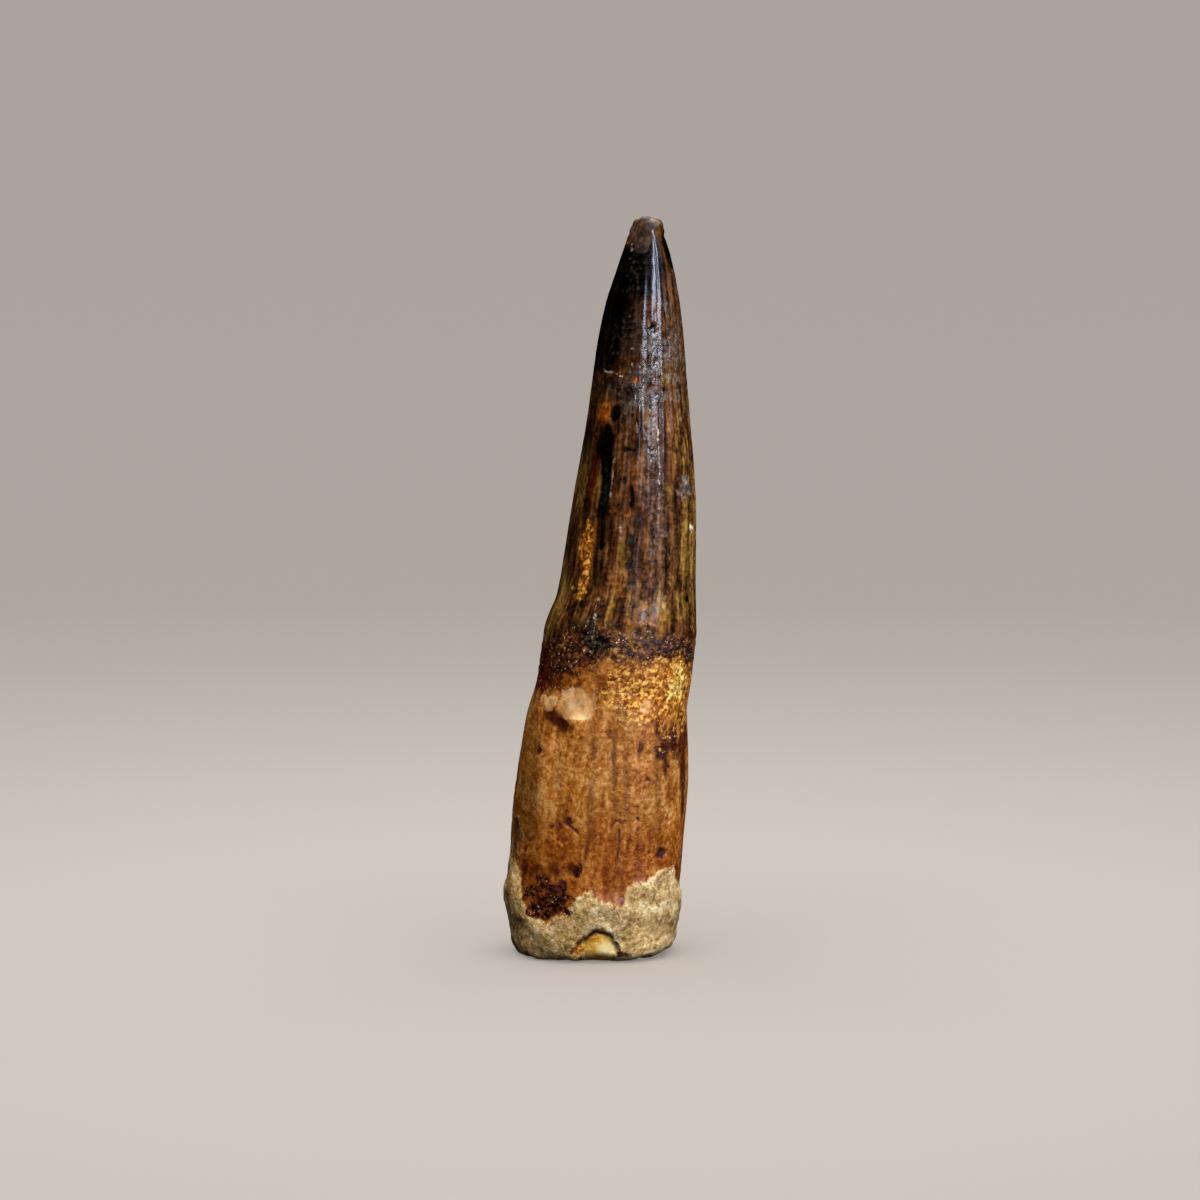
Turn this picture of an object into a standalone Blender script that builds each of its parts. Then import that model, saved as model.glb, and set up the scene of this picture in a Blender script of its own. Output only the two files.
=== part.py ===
"""Fossil spinosaur tooth: a fluted conical crown, a rough collar and a root that broke off flat at its foot.

Metres, +Z up from the broken foot to the worn tip. The face that is shown looks along -Y, and the
crown's two keels lie at -X and +X. The whole tooth is one solid, because it grew and fossilised as one.
"""

import bisect
import math

import bmesh
import bpy
from mathutils import Vector, noise

MM = 0.001

# Driving dimensions, in millimetres. Every height below is counted from the foot.
TOOTH_LENGTH = 110.0
RIM_ROUNDING = 1.6
TIP_ROUNDING = 2.0
ENAMEL_END = 46.5
COLLAR_END = 36.5
CRUST_TOP = 9.5

# The two side edges seen from the front, as (height, sideways place).
LEFT_EDGE = (
    (0.0, -13.0),
    (1.9, -13.2),
    (4.5, -13.4),
    (9.0, -14.4),
    (14.5, -13.8),
    (23.5, -13.2),
    (30.5, -12.2),
    (36.5, -11.1),
    (39.5, -10.1),
    (46.5, -8.8),
    (50.5, -8.0),
    (53.5, -6.7),
    (67.5, -4.5),
    (78.5, -2.5),
    (89.0, -1.1),
    (94.5, -0.3),
    (101.5, 1.9),
    (108.0, 4.2),
    (110.0, 5.0),
)
RIGHT_EDGE = (
    (0.0, 10.6),
    (3.5, 10.8),
    (9.0, 11.6),
    (18.0, 12.3),
    (27.0, 12.9),
    (37.5, 12.7),
    (43.0, 13.6),
    (53.5, 14.0),
    (62.5, 14.2),
    (73.0, 13.8),
    (84.0, 12.8),
    (94.5, 12.0),
    (101.5, 11.0),
    (108.0, 9.1),
    (110.0, 8.0),
)
# How deep the tooth is for its width, and how far its middle leans back, both by height.
DEPTH_SHARE = ((0.0, 0.80), (30.0, 0.82), (43.0, 0.86), (70.0, 0.89), (110.0, 0.93))
LEAN_BACK = ((0.0, 0.0), (30.0, -0.3), (60.0, 0.2), (90.0, 1.6), (110.0, 3.0))
# The root is a little squarer in section than the crown. 2 is an ellipse.
ROOT_SQUARENESS = 2.25
CROWN_SQUARENESS = 2.0

# The mesh: points round the tooth, and the rings as (from, to, how many) between the rim and the tip.
POINTS_ROUND = 96
WALL_RINGS = (
    (RIM_ROUNDING, 13.0, 11),
    (13.0, 34.0, 8),
    (34.0, 55.0, 11),
    (55.0, TOOTH_LENGTH - TIP_ROUNDING, 9),
)
FOOT_RINGS = (0.0, 0.18, 0.36, 0.54, 0.70, 0.82, 0.91)

# Relief, in millimetres.
FLUTES = 24
FLUTE_DEPTH = 0.21
KEEL_HEIGHT = 0.32
KEEL_WIDTH = 0.13
ENAMEL_LIP = 0.22
CRUST_THICKNESS = 0.42
CRUST_LUMPS = 0.30
ROOT_SWELL = 0.22

FRONT, BACK = -1, 1

# Places where the surface is scooped out: (side, sideways place, height, half width, half height, depth, tilt).
# The tilt is how far the place's upper end leans right, as a share of its height.
SCOOPS = (
    (FRONT, -1.4, 59.0, 1.2, 6.0, 0.40, 0.10),  # enamel strip flaked off the crown
    (FRONT, 0.7, 67.5, 0.8, 12.5, 0.45, 0.05),  # long split beside it
    (FRONT, 6.0, 62.5, 1.3, 1.6, 0.30, 0.0),  # curved chip under the crown's middle
    (FRONT, 1.6, 81.0, 1.1, 1.2, 0.35, 0.0),  # pocket left of the crown's shine
    (FRONT, 7.8, 93.6, 1.0, 1.3, 0.40, 0.0),  # pit high on the crown
    (FRONT, 5.2, 107.0, 1.9, 3.0, 0.45, 0.0),  # worn face at the tip
    (FRONT, -2.6, 37.6, 2.5, 2.7, 0.35, -0.2),  # bare oval under the collar
    (FRONT, -6.2, 34.0, 1.5, 2.0, 0.45, -0.3),  # hollow at its lower left
    (FRONT, -4.0, 19.6, 1.9, 1.0, 0.40, -0.3),  # etched pits on the root
    (FRONT, 8.9, 15.3, 1.2, 1.2, 0.50, 0.3),  # deep pit at the right
    (FRONT, 3.4, 15.0, 0.7, 4.5, 0.30, 0.08),  # crack down the root
    (FRONT, -8.0, 9.0, 3.4, 3.2, 0.40, 0.0),  # bare stained hollow in the crust
    (BACK, -3.0, 71.0, 1.0, 9.0, 0.40, 0.05),  # split on the far side of the crown
    (BACK, 5.5, 55.5, 2.2, 3.2, 0.35, 0.2),  # flake beside the enamel's edge
    (BACK, 2.0, 28.0, 2.8, 3.4, 0.40, -0.2),  # worn place on the root
    (BACK, -6.0, 17.0, 1.3, 1.5, 0.45, 0.0),  # pit on the root
)

# The wall has broken out at the foot's edge and shows the filling behind it.
BREAK_PLACE = -0.9
BREAK_HALF_WIDTH = 3.0
BREAK_HEIGHT = 4.7
BREAK_DEPTH = 1.2

# The foot's right corner is knocked off, its front edge is worn, and the broken face round the flat rest is pitted.
CORNER_START = 7.4
CORNER_RISE = 1.3
REST_REACH = 0.62
FOOT_PITTING = 0.35
FRONT_WEAR = 0.75

COLOUR = (0.330, 0.155, 0.060, 1.0)
ROUGHNESS = 0.42


def smooth_step(low, high, value):
    """0 below low, 1 above high, and a smooth rise between them."""
    share = min(1.0, max(0.0, (value - low) / (high - low)))
    return share * share * (3.0 - 2.0 * share)


def along(curve, height):
    """The curve's value at a height: a smooth line through its (height, value) points."""
    heights = [point[0] for point in curve]
    last = len(curve) - 1
    index = min(max(bisect.bisect_right(heights, height) - 1, 0), last - 1)
    (h0, v0), (h1, v1) = curve[index], curve[index + 1]
    before = curve[max(index - 1, 0)]
    after = curve[min(index + 2, last)]
    slope0 = (v1 - before[1]) / (h1 - before[0])
    slope1 = (after[1] - v0) / (after[0] - h0)
    span = h1 - h0
    t = min(1.0, max(0.0, (height - h0) / span))
    return (
        (2 * t**3 - 3 * t**2 + 1) * v0
        + (t**3 - 2 * t**2 + t) * span * slope0
        + (3 * t**2 - 2 * t**3) * v1
        + (t**3 - t**2) * span * slope1
    )


def ripple(angle, height, size, seed=0.0):
    """Noise from -1 to 1 that closes on itself round the tooth. Size is its grain, in millimetres."""
    reach = 10.0
    place = Vector((reach * math.cos(angle), reach * math.sin(angle), height))
    return noise.noise(place / size + Vector((seed, 2.0 * seed, 3.0 * seed)))


def ring_plan():
    """(share of the outline's reach, height) of each ring, from the foot's middle up to the tip."""
    rings = [(share, 0.0) for share in FOOT_RINGS]
    rings += [(0.965, 0.16 * RIM_ROUNDING), (0.99, 0.5 * RIM_ROUNDING)]
    for low, high, count in WALL_RINGS:
        rings += [(1.0, low + (high - low) * step / count) for step in range(count)]
    for degrees in (0, 25, 48, 70, 90):
        turn = math.radians(degrees)
        height = TOOTH_LENGTH - TIP_ROUNDING * (1.0 - math.sin(turn))
        rings.append((math.cos(turn), height))
    return rings


def crust_edge(angle, sideways, facing):
    """Height of the sandy crust's ragged upper edge."""
    edge = CRUST_TOP + 2.6 * ripple(angle, 0.0, 5.0, 4.0) + 1.2 * ripple(angle, 0.0, 2.2, 6.0)
    rise_right = 2.6 * smooth_step(3.2, 5.0, sideways)
    rise_left = 4.0 * smooth_step(-10.0, -13.0, sideways)
    dip = 3.2 * math.exp(-(((sideways + 7.6) / 3.2) ** 2))
    return edge + smooth_step(0.0, 0.5, facing) * (rise_right + rise_left - dip)


def flute_relief(angle, height):
    """Hollow flutes with sharp ridges between them, fading out near the tip and the collar."""
    hollow = abs(math.sin(0.5 * FLUTES * angle))
    fade = smooth_step(ENAMEL_END - 1.0, ENAMEL_END + 9.0, height)
    fade *= 1.0 - smooth_step(92.0, 106.0, height)
    depth = FLUTE_DEPTH * (0.8 + 0.8 * ripple(angle, 0.12 * height, 2.2, 1.0))
    return -depth * hollow * fade


def keel_relief(angle, height):
    """The crown sinks a little everywhere but along its two keels."""
    off_keel = math.asin(min(1.0, abs(math.sin(angle))))
    keel = math.exp(-((off_keel / KEEL_WIDTH) ** 2))
    return -KEEL_HEIGHT * (1.0 - keel) * smooth_step(ENAMEL_END, ENAMEL_END + 12.0, height)


def collar_relief(angle, height):
    """The enamel ends in a low lip, and a granular collar lies between it and the root."""
    edge = ENAMEL_END + 1.6 * ripple(angle, 0.0, 4.0, 8.0)
    lip = ENAMEL_LIP * math.exp(-(((height - edge - 0.8) / 1.6) ** 2))
    band = smooth_step(COLLAR_END - 2.0, COLLAR_END + 2.0, height) * (1.0 - smooth_step(edge - 1.5, edge, height))
    return lip + band * 0.22 * ripple(angle, height, 1.5, 3.0)


def root_relief(angle, height):
    """Long low swells down the root."""
    share = 1.0 - smooth_step(COLLAR_END - 3.0, COLLAR_END + 1.0, height)
    return share * ROOT_SWELL * (ripple(angle, 0.12 * height, 2.6, 5.0) + 0.5 * ripple(angle, height, 3.0, 7.0))


def crust_relief(angle, height, sideways, facing):
    """Sandy crust cemented round the root's end."""
    edge = crust_edge(angle, sideways, facing)
    share = 1.0 - smooth_step(edge - 1.0, edge + 0.4, height)
    lumps = CRUST_LUMPS * (ripple(angle, height, 1.9, 9.0) + 0.6 * ripple(angle, height, 1.0, 11.0))
    return share * (CRUST_THICKNESS + lumps)


def scoop_relief(sideways, height, facing):
    """Flakes, pits, splits and worn places, each a shallow scoop with a fairly steep edge."""
    depth = 0.0
    for side, place, middle, half_width, half_height, sink, tilt in SCOOPS:
        across = (sideways - place - tilt * (height - middle)) / half_width
        up = (height - middle) / half_height
        on_side = smooth_step(0.0, 0.3, facing * -side)
        depth += sink * on_side * (1.0 - smooth_step(0.35, 1.35, math.hypot(across, up)))
    return -depth


def break_relief(sideways, height, facing):
    """The break in the wall at the foot's edge: steep above, open below."""
    top = BREAK_HEIGHT * (1.0 - (abs(sideways - BREAK_PLACE) / BREAK_HALF_WIDTH) ** 2)
    inside = smooth_step(-1.0, 1.3, top - height) * smooth_step(0.2, 0.6, facing)
    return -BREAK_DEPTH * inside


def foot_lift(place, share, facing):
    """How far the broken foot rises off the surface: flat in the middle, pitted and chipped towards its edge."""
    unevenness = noise.noise(Vector((place.x, place.y, 7.0)) / 2.6)
    pits = FOOT_PITTING * smooth_step(REST_REACH, 0.75, share) * smooth_step(-0.05, 0.3, unevenness)
    wear = FRONT_WEAR * smooth_step(0.80, 0.97, share) * smooth_step(0.45, 0.9, facing)
    wear *= (0.75 + 0.5 * unevenness) * smooth_step(-11.0, -7.0, place.x)
    corner = CORNER_RISE * smooth_step(CORNER_START, CORNER_START + 4.5, place.x - 0.15 * place.y)
    return pits + wear + corner


def tooth_point(angle, share, height):
    """The surface point of a ring, in millimetres, at an angle counted from +X towards +Y."""
    left, right = along(LEFT_EDGE, height), along(RIGHT_EDGE, height)
    half_width = 0.5 * (right - left)
    centre = Vector((0.5 * (left + right), along(LEAN_BACK, height), 0.0))
    crown = smooth_step(COLLAR_END, ENAMEL_END, height)
    power = ROOT_SQUARENESS + (CROWN_SQUARENESS - ROOT_SQUARENESS) * crown
    across, deep = math.cos(angle), math.sin(angle)
    reach = (abs(across) ** power + abs(deep) ** power) ** (-1.0 / power)
    outline = Vector((across * half_width, deep * half_width * along(DEPTH_SHARE, height), 0.0)) * reach
    facing = -deep
    sideways = centre.x + outline.x
    relief = (
        flute_relief(angle, height)
        + keel_relief(angle, height)
        + collar_relief(angle, height)
        + root_relief(angle, height)
        + crust_relief(angle, height, sideways, facing)
        + scoop_relief(sideways, height, facing)
        + break_relief(sideways, height, facing)
    )
    grown = outline.normalized() * (outline.length + relief) * share
    place = centre + grown
    place.z = height + foot_lift(place, share, facing) * (1.0 - smooth_step(RIM_ROUNDING, 7.0, height))
    return place


def shape_tooth(mesh_data):
    """Draws a ball out into the tooth: each of its rings becomes one ring of the tooth."""
    rings = ring_plan()
    steps = len(rings) - 1
    bm = bmesh.new()
    bmesh.ops.create_uvsphere(bm, u_segments=POINTS_ROUND, v_segments=steps, radius=1.0)
    for vertex in bm.verts:
        from_foot = math.acos(max(-1.0, min(1.0, -vertex.co.z))) / math.pi
        share, height = rings[round(from_foot * steps)]
        angle = math.atan2(vertex.co.y, vertex.co.x)
        vertex.co = tooth_point(angle, share, height) * MM
    bmesh.ops.recalc_face_normals(bm, faces=bm.faces)
    bm.to_mesh(mesh_data)
    bm.free()


def stand_on_origin(mesh_data):
    """Moves the mesh so that the origin is under the middle of its box, at the foot."""
    lows = [min(vertex.co[axis] for vertex in mesh_data.vertices) for axis in range(3)]
    highs = [max(vertex.co[axis] for vertex in mesh_data.vertices) for axis in range(3)]
    shift = Vector((0.5 * (lows[0] + highs[0]), 0.5 * (lows[1] + highs[1]), lows[2]))
    for vertex in mesh_data.vertices:
        vertex.co -= shift


def fossil_material():
    """Glossy brown fossil enamel and dentine."""
    material = bpy.data.materials.new("fossil_tooth")
    material.use_nodes = True
    shader = material.node_tree.nodes["Principled BSDF"]
    shader.inputs["Base Color"].default_value = COLOUR
    shader.inputs["Roughness"].default_value = ROUGHNESS
    shader.inputs["Metallic"].default_value = 0.0
    return material


def build_tooth(collection):
    """The whole tooth as one object."""
    mesh_data = bpy.data.meshes.new("tooth")
    shape_tooth(mesh_data)
    stand_on_origin(mesh_data)
    mesh_data.materials.append(fossil_material())
    mesh_data.shade_smooth()
    tooth = bpy.data.objects.new("tooth", mesh_data)
    collection.objects.link(tooth)
    return tooth


def main():
    for obj in list(bpy.data.objects):
        bpy.data.objects.remove(obj, do_unlink=True)
    collection = bpy.data.collections.new("spinosaur_tooth")
    bpy.context.scene.collection.children.link(collection)
    build_tooth(collection)


main()
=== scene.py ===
"""Looks of the fossil spinosaur tooth: its fine relief, its mineral colours, the studio and the camera."""

import logging
import math
from collections.abc import Iterable
from dataclasses import dataclass, field
from enum import Enum

import bmesh
import bpy
import numpy as np
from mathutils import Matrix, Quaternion, Vector, noise
from mathutils.bvhtree import BVHTree


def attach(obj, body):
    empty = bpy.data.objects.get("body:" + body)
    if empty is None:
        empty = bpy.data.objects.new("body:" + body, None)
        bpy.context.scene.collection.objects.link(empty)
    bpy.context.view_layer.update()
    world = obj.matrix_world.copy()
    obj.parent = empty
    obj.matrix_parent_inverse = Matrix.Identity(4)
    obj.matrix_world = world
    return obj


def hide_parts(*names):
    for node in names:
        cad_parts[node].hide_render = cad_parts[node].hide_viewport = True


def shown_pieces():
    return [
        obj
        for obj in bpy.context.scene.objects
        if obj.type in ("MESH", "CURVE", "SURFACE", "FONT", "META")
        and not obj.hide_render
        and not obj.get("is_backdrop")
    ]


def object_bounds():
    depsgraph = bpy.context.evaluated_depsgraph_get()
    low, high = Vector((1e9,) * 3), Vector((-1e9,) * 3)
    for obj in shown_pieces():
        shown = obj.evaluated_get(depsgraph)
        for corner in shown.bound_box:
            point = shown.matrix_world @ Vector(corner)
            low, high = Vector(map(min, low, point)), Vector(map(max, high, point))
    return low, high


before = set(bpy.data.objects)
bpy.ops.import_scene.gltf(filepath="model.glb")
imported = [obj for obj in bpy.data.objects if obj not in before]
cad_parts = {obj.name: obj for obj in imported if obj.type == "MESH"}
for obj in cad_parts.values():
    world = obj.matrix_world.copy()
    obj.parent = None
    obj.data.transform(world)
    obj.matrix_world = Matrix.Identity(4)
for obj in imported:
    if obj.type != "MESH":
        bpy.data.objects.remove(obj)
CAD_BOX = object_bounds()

LOG = logging.getLogger("tooth")
MM = 0.001
Array = np.ndarray
Pair = tuple[float, float]


def smooth_step(low: float, high: float, value: Array) -> Array:
    """Returns 0 below low, 1 above high, and a smooth rise between them.

    Args:
        low: where the rise starts.
        high: where the rise ends.
        value: the numbers to judge.

    Returns:
        One number from 0 to 1 for each value.
    """
    share = np.clip((value - low) / (high - low), 0.0, 1.0)
    return share * share * (3.0 - 2.0 * share)


def linear(hex_colour: str) -> tuple[float, float, float, float]:
    """Turns an sRGB hex colour into linear light.

    Args:
        hex_colour: six hex digits.

    Returns:
        Red, green, blue and an opaque alpha.
    """
    parts = [int(hex_colour[start : start + 2], 16) / 255.0 for start in (0, 2, 4)]
    red, green, blue = (p / 12.92 if p <= 0.04045 else ((p + 0.055) / 1.055) ** 2.4 for p in parts)
    return (red, green, blue, 1.0)


class Layer(Enum):
    """The fossil's finishes, named by the vertex attribute that says where each one shows."""

    ROOT = "root"
    COLLAR = "collar"
    ENAMEL = "enamel"
    CRUST = "crust"
    TAWNY = "tawny"
    UMBER = "umber"
    OLIVE = "olive"
    ASH_AND_SHEEN = "ash_and_sheen"
    RUST = "rust"
    MAROON = "maroon"
    STAIN = "stain"
    JET = "jet"
    SOOT = "soot"
    AMBER = "amber"
    GOLD = "gold"
    YELLOW = "yellow"
    CREAM = "cream"
    CHIP = "chip"
    TIP = "tip"
    PALE = "pale"
    SPARK = "spark"
    PORE = "pore"
    STAIN_AND_SHADE = "deep"
    BLEACH_AND_LIGHT = "bleach_and_light"
    PITCH = "pitch"


class Weave(Enum):
    """How a finish's tones are laid out on the surface."""

    GRAIN = "grain"
    STREAK = "streak"
    MOTTLE = "mottle"
    CLOUD = "cloud"
    SAND = "sand"
    RELIEF = "relief"
    SPECK = "speck"
    RIM = "rim"


@dataclass(frozen=True)
class Finish:
    """One mineral finish.

    Attributes:
        layer: where it shows.
        dark: its darkest tone, as sRGB hex.
        middle: its usual tone.
        light: its lightest tone.
        weave: how its tones are laid out.
        roughness: its gloss, 0 for a mirror.
        crisp: how sharply grains break its edge, from 0 for a soft bloom to 1.
        speck: the share of single crystals that it shows on, or 0 where it shows on all.
    """

    layer: Layer
    dark: str
    middle: str
    light: str
    weave: Weave
    roughness: float
    crisp: float = 1.0
    speck: float = 0.0


# From the bottom layer to the top one.
FINISHES = (
    # Root dentine: fossil ivory stained by iron, polished by handling. Fibres and pores, a waxy gloss.
    Finish(Layer.ROOT, "6c3410", "a4651e", "d09a5a", Weave.MOTTLE, 0.44),
    # Dentine near the break, soaked with more iron.
    Finish(Layer.TAWNY, "541d05", "96500f", "c48640", Weave.MOTTLE, 0.42, 0.4),
    # Collar: crumbling enamel and manganese grains with golden dentine showing between them.
    Finish(Layer.COLLAR, "220d04", "451e08", "7e4c1a", Weave.GRAIN, 0.55),
    # Crown enamel: apatite, glassy, stained brown by iron and manganese, darker in its flutes.
    Finish(Layer.ENAMEL, "140703", "40240f", "744a22", Weave.STREAK, 0.27),
    # Sandy crust: quartz grains cemented by lime. Matt, with glints from clean grains.
    Finish(Layer.CRUST, "8c6c38", "c09c60", "e2cd9c", Weave.SAND, 0.64, 0.6),
    # Enamel with a violet-brown cast from manganese.
    Finish(Layer.UMBER, "2c1308", "5e3619", "90633e", Weave.STREAK, 0.29, 0.3),
    # Thin enamel, so that the ochre dentine glows through.
    Finish(Layer.OLIVE, "2e1c08", "69481b", "947236", Weave.STREAK, 0.25, 0.3),
    # Etched enamel with a bloom of lime in its pits, lightened along the crown's highlight as a painted
    # sheen.
    Finish(Layer.ASH_AND_SHEEN, "231b16", "4b4139", "7a6f66", Weave.SAND, 0.20, 0.2),
    # Iron rust soaked into the enamel and dentine.
    Finish(Layer.RUST, "3a1404", "7c390c", "ac6c1c", Weave.MOTTLE, 0.36, 0.4),
    # Iron and manganese together, in hollows and grains. In the hollow at the cream patch's lower left it is
    # painted shade.
    Finish(Layer.MAROON, "110401", "3b0f04", "66250a", Weave.MOTTLE, 0.38, 0.2),
    # Root laid bare in the crust and soaked with iron; round the broken face it also darkens the crevice,
    # partly as painted shadow.
    Finish(Layer.STAIN, "0e0301", "3c1606", "7c3e12", Weave.GRAIN, 0.38),
    # Manganese-black enamel, the glassiest part. On the crown's upper left its blackness is partly painted
    # shade.
    Finish(Layer.JET, "000000", "030201", "1a1109", Weave.STREAK, 0.25, 0.5),
    # Manganese-black enamel gone dull.
    Finish(Layer.SOOT, "060302", "1c130d", "42352b", Weave.GRAIN, 0.32, 0.4),
    # Dentine under a skin of resin-brown enamel.
    Finish(Layer.AMBER, "4a2006", "a05c10", "e0a040", Weave.GRAIN, 0.36, 0.3),
    # Fresh dentine where the enamel has flaked away: golden, grainy, a silky gloss. At the broken face's left
    # end it is orange painted shade.
    Finish(Layer.GOLD, "7c3e0c", "b66e1e", "f8ba54", Weave.GRAIN, 0.42, 0.2),
    # Fresh dentine too, the least stained of it, so the palest gold. At the broken face's right end it is
    # painted light.
    Finish(Layer.YELLOW, "946414", "d8a640", "fbe488", Weave.GRAIN, 0.42, 0.8),
    # Lime-white dentine, unstained and smooth.
    Finish(Layer.CREAM, "ac7238", "cf9a60", "e6be88", Weave.CLOUD, 0.44, 0.6),
    # Calcite filling, seen where the wall has broken out: translucent amber to cream.
    Finish(Layer.CHIP, "c8801c", "f0b850", "fbe09a", Weave.CLOUD, 0.40, 0.3),
    # Bare dentine at the worn tip, matt and grey-brown with handling.
    Finish(Layer.TIP, "20140a", "42301e", "624c33", Weave.CLOUD, 0.60, 0.6),
    # Lime and fresh fracture edges, and painted glints on the crown's sharpest ridges.
    Finish(Layer.PALE, "8f7c62", "c8b494", "f4e6cc", Weave.GRAIN, 0.30, 0.4),
    # Painted glints: single crystals lightened as though they caught the light.
    Finish(Layer.SPARK, "c09a60", "e6c890", "fff0d0", Weave.GRAIN, 0.30, 1.0, 0.10),
    # Open pores with dirt in them.
    Finish(Layer.PORE, "140602", "2c1206", "4c2410", Weave.GRAIN, 0.60, 1.0, 0.10),
    # The bottoms of pits and cracks, filled with dark earth.
    Finish(Layer.PITCH, "260904", "44140a", "642612", Weave.GRAIN, 0.90, 0.4),
)


@dataclass(frozen=True)
class Wash:
    """A thin stain that darkens or lightens what lies under it.

    Attributes:
        layer: where it shows.
        tint: what it multiplies the colour under it by, red, green and blue.
    """

    layer: Layer
    tint: tuple[float, float, float]


WASHES = (
    # Manganese soaked in from the ground, and painted shade at the tooth's sides, under the collar and in the
    # crevice round the broken face.
    Wash(Layer.STAIN_AND_SHADE, (0.20, 0.16, 0.12)),
    # Leached by ground water in places, and painted light on the tooth's lit right side and along the crown's
    # highlight.
    Wash(Layer.BLEACH_AND_LIGHT, (1.55, 1.60, 1.65)),
)

# How wide the edge of a mark fades, as a share of the mark's half size.
FADES = {
    **{finish.layer: 0.80 - 0.45 * finish.crisp for finish in FINISHES},
    **{wash.layer: 0.75 for wash in WASHES},
    Layer.CREAM: 0.25,
    Layer.CHIP: 0.35,
    Layer.AMBER: 0.35,
}

# The finishes whose edges are drawn out along the growth lines.
STREAKED = frozenset((Layer.UMBER, Layer.OLIVE, Layer.JET, Layer.MAROON, Layer.AMBER))


@dataclass
class Surface:
    """The tooth's skin as arrays, in millimetres.

    Attributes:
        places: one row for each point.
        normals: the outward direction at each point.
        angles: the angle round the tooth at each point, 0 at +X.
    """

    places: Array
    normals: Array
    angles: Array

    @property
    def across(self) -> Array:
        """Sideways places, to the right on the shown face."""
        return self.places[:, 0]

    @property
    def height(self) -> Array:
        """Heights above the foot."""
        return self.places[:, 2]

    @property
    def flow(self) -> Array:
        """Places on an even drum, so that a pattern runs along the flutes and closes all round."""
        return np.stack((10.0 * np.cos(self.angles), 10.0 * np.sin(self.angles), self.height), axis=1)

    @property
    def front(self) -> Array:
        """1 on the shown face, 0 on the far one."""
        return smooth_step(-0.12, 0.12, -self.normals[:, 1])

    def grain(self, size: float, seed: float) -> Array:
        """Even noise.

        Args:
            size: the size of its lumps.
            seed: which noise.

        Returns:
            About -1 to 1 for each point.
        """
        return noise_at(self.places / size, seed)

    def streaks(self, width: float, length: float, seed: float) -> Array:
        """Noise drawn out along the flutes.

        Args:
            width: the size of its lumps round the tooth.
            length: their size along it.
            seed: which noise.

        Returns:
            About -1 to 1 for each point.
        """
        return noise_at(self.flow / np.array((width, width, length)), seed)


def noise_at(places: Array, seed: float) -> Array:
    """Smooth noise.

    Args:
        places: one row for each point, in lumps.
        seed: which noise.

    Returns:
        About -1 to 1 for each point.
    """
    shift = Vector((17.3 * seed, 5.1 * seed, 9.7 * seed))
    return np.fromiter((noise.noise(Vector(place) + shift) for place in places), float, len(places))


@dataclass(frozen=True)
class Mark:
    """One place on the tooth's face with a finish of its own, as a leaning oval with a ragged edge.

    Attributes:
        layer: its finish.
        across: its middle, sideways.
        height: its middle, above the foot.
        half_width: half its width.
        half_height: half its height.
        lean: how far its upper end leans right, as a share of its height.
        strength: how fully it covers, to 1.
        ragged: how ragged its edge is, to 1.
        depth: how deep it is sunk.
    """

    layer: Layer
    across: float
    height: float
    half_width: float
    half_height: float
    lean: float = 0.0
    strength: float = 1.0
    ragged: float = 0.5
    depth: float = 0.0

    def cover(self, across: Array, height: Array, rough: Array, fade: float) -> Array:
        """Where the mark shows.

        Args:
            across: sideways places.
            height: heights.
            rough: noise that breaks its edge.
            fade: how wide its edge fades, as a share of its half size.

        Returns:
            0 to 1 for each point.
        """
        up = height - self.height
        reach = np.hypot((across - self.across - self.lean * up) / self.half_width, up / self.half_height)
        return self.strength * (1.0 - smooth_step(1.0 - fade, 1.0 + fade, reach + self.ragged * rough))


@dataclass(frozen=True)
class Stroke:
    """A crack, groove or ridge along a line on the tooth's face.

    Attributes:
        layer: its finish.
        points: the (sideways, height) places that it runs through.
        width: its width.
        strength: how fully it covers, to 1.
        ragged: how ragged its edge is, to 1.
        depth: how deep it is sunk, or how high it stands where negative.
    """

    layer: Layer
    points: tuple[Pair, ...]
    width: float
    strength: float = 1.0
    ragged: float = 0.5
    depth: float = 0.0

    def cover(self, across: Array, height: Array, rough: Array, fade: float) -> Array:
        """Where the stroke shows.

        Args:
            across: sideways places.
            height: heights.
            rough: noise that breaks its edge.
            fade: how wide its edge fades, as a share of its half width.

        Returns:
            0 to 1 for each point.
        """
        nearest = np.full(across.shape, np.inf)
        for (x0, z0), (x1, z1) in zip(self.points, self.points[1:]):
            run, rise = x1 - x0, z1 - z0
            share = ((across - x0) * run + (height - z0) * rise) / (run * run + rise * rise)
            share = np.clip(share, 0.0, 1.0)
            nearest = np.minimum(nearest, np.hypot(across - x0 - share * run, height - z0 - share * rise))
        reach = 2.0 * nearest / max(self.width, 0.3) + self.ragged * rough
        return self.strength * (1.0 - smooth_step(1.0 - fade, 1.1 + fade, reach))


@dataclass(frozen=True)
class Edge:
    """A line round the tooth where one kind of surface ends.

    Attributes:
        points: (sideways, height) places along it on the shown face, from left to right.
        wander: how far it wanders up and down.
        lump: the size of its lobes.
        seed: which noise.
    """

    points: tuple[Pair, ...]
    wander: float
    lump: float
    seed: float

    def heights(self, surface: Surface) -> Array:
        """The edge's height over each point of the surface.

        Args:
            surface: the tooth's skin.

        Returns:
            One height for each point.
        """
        across = [point[0] for point in self.points]
        heights = [point[1] for point in self.points]
        shown = np.interp(surface.across, across, heights)
        far = np.interp(-0.8 * surface.across, across, heights) + 1.5 * surface.grain(7.0, self.seed + 1.0)
        lobes = surface.grain(self.lump, self.seed) + 0.6 * surface.grain(0.45 * self.lump, self.seed)
        wander = self.wander * lobes
        return surface.front * shown + (1.0 - surface.front) * far + wander


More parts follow.
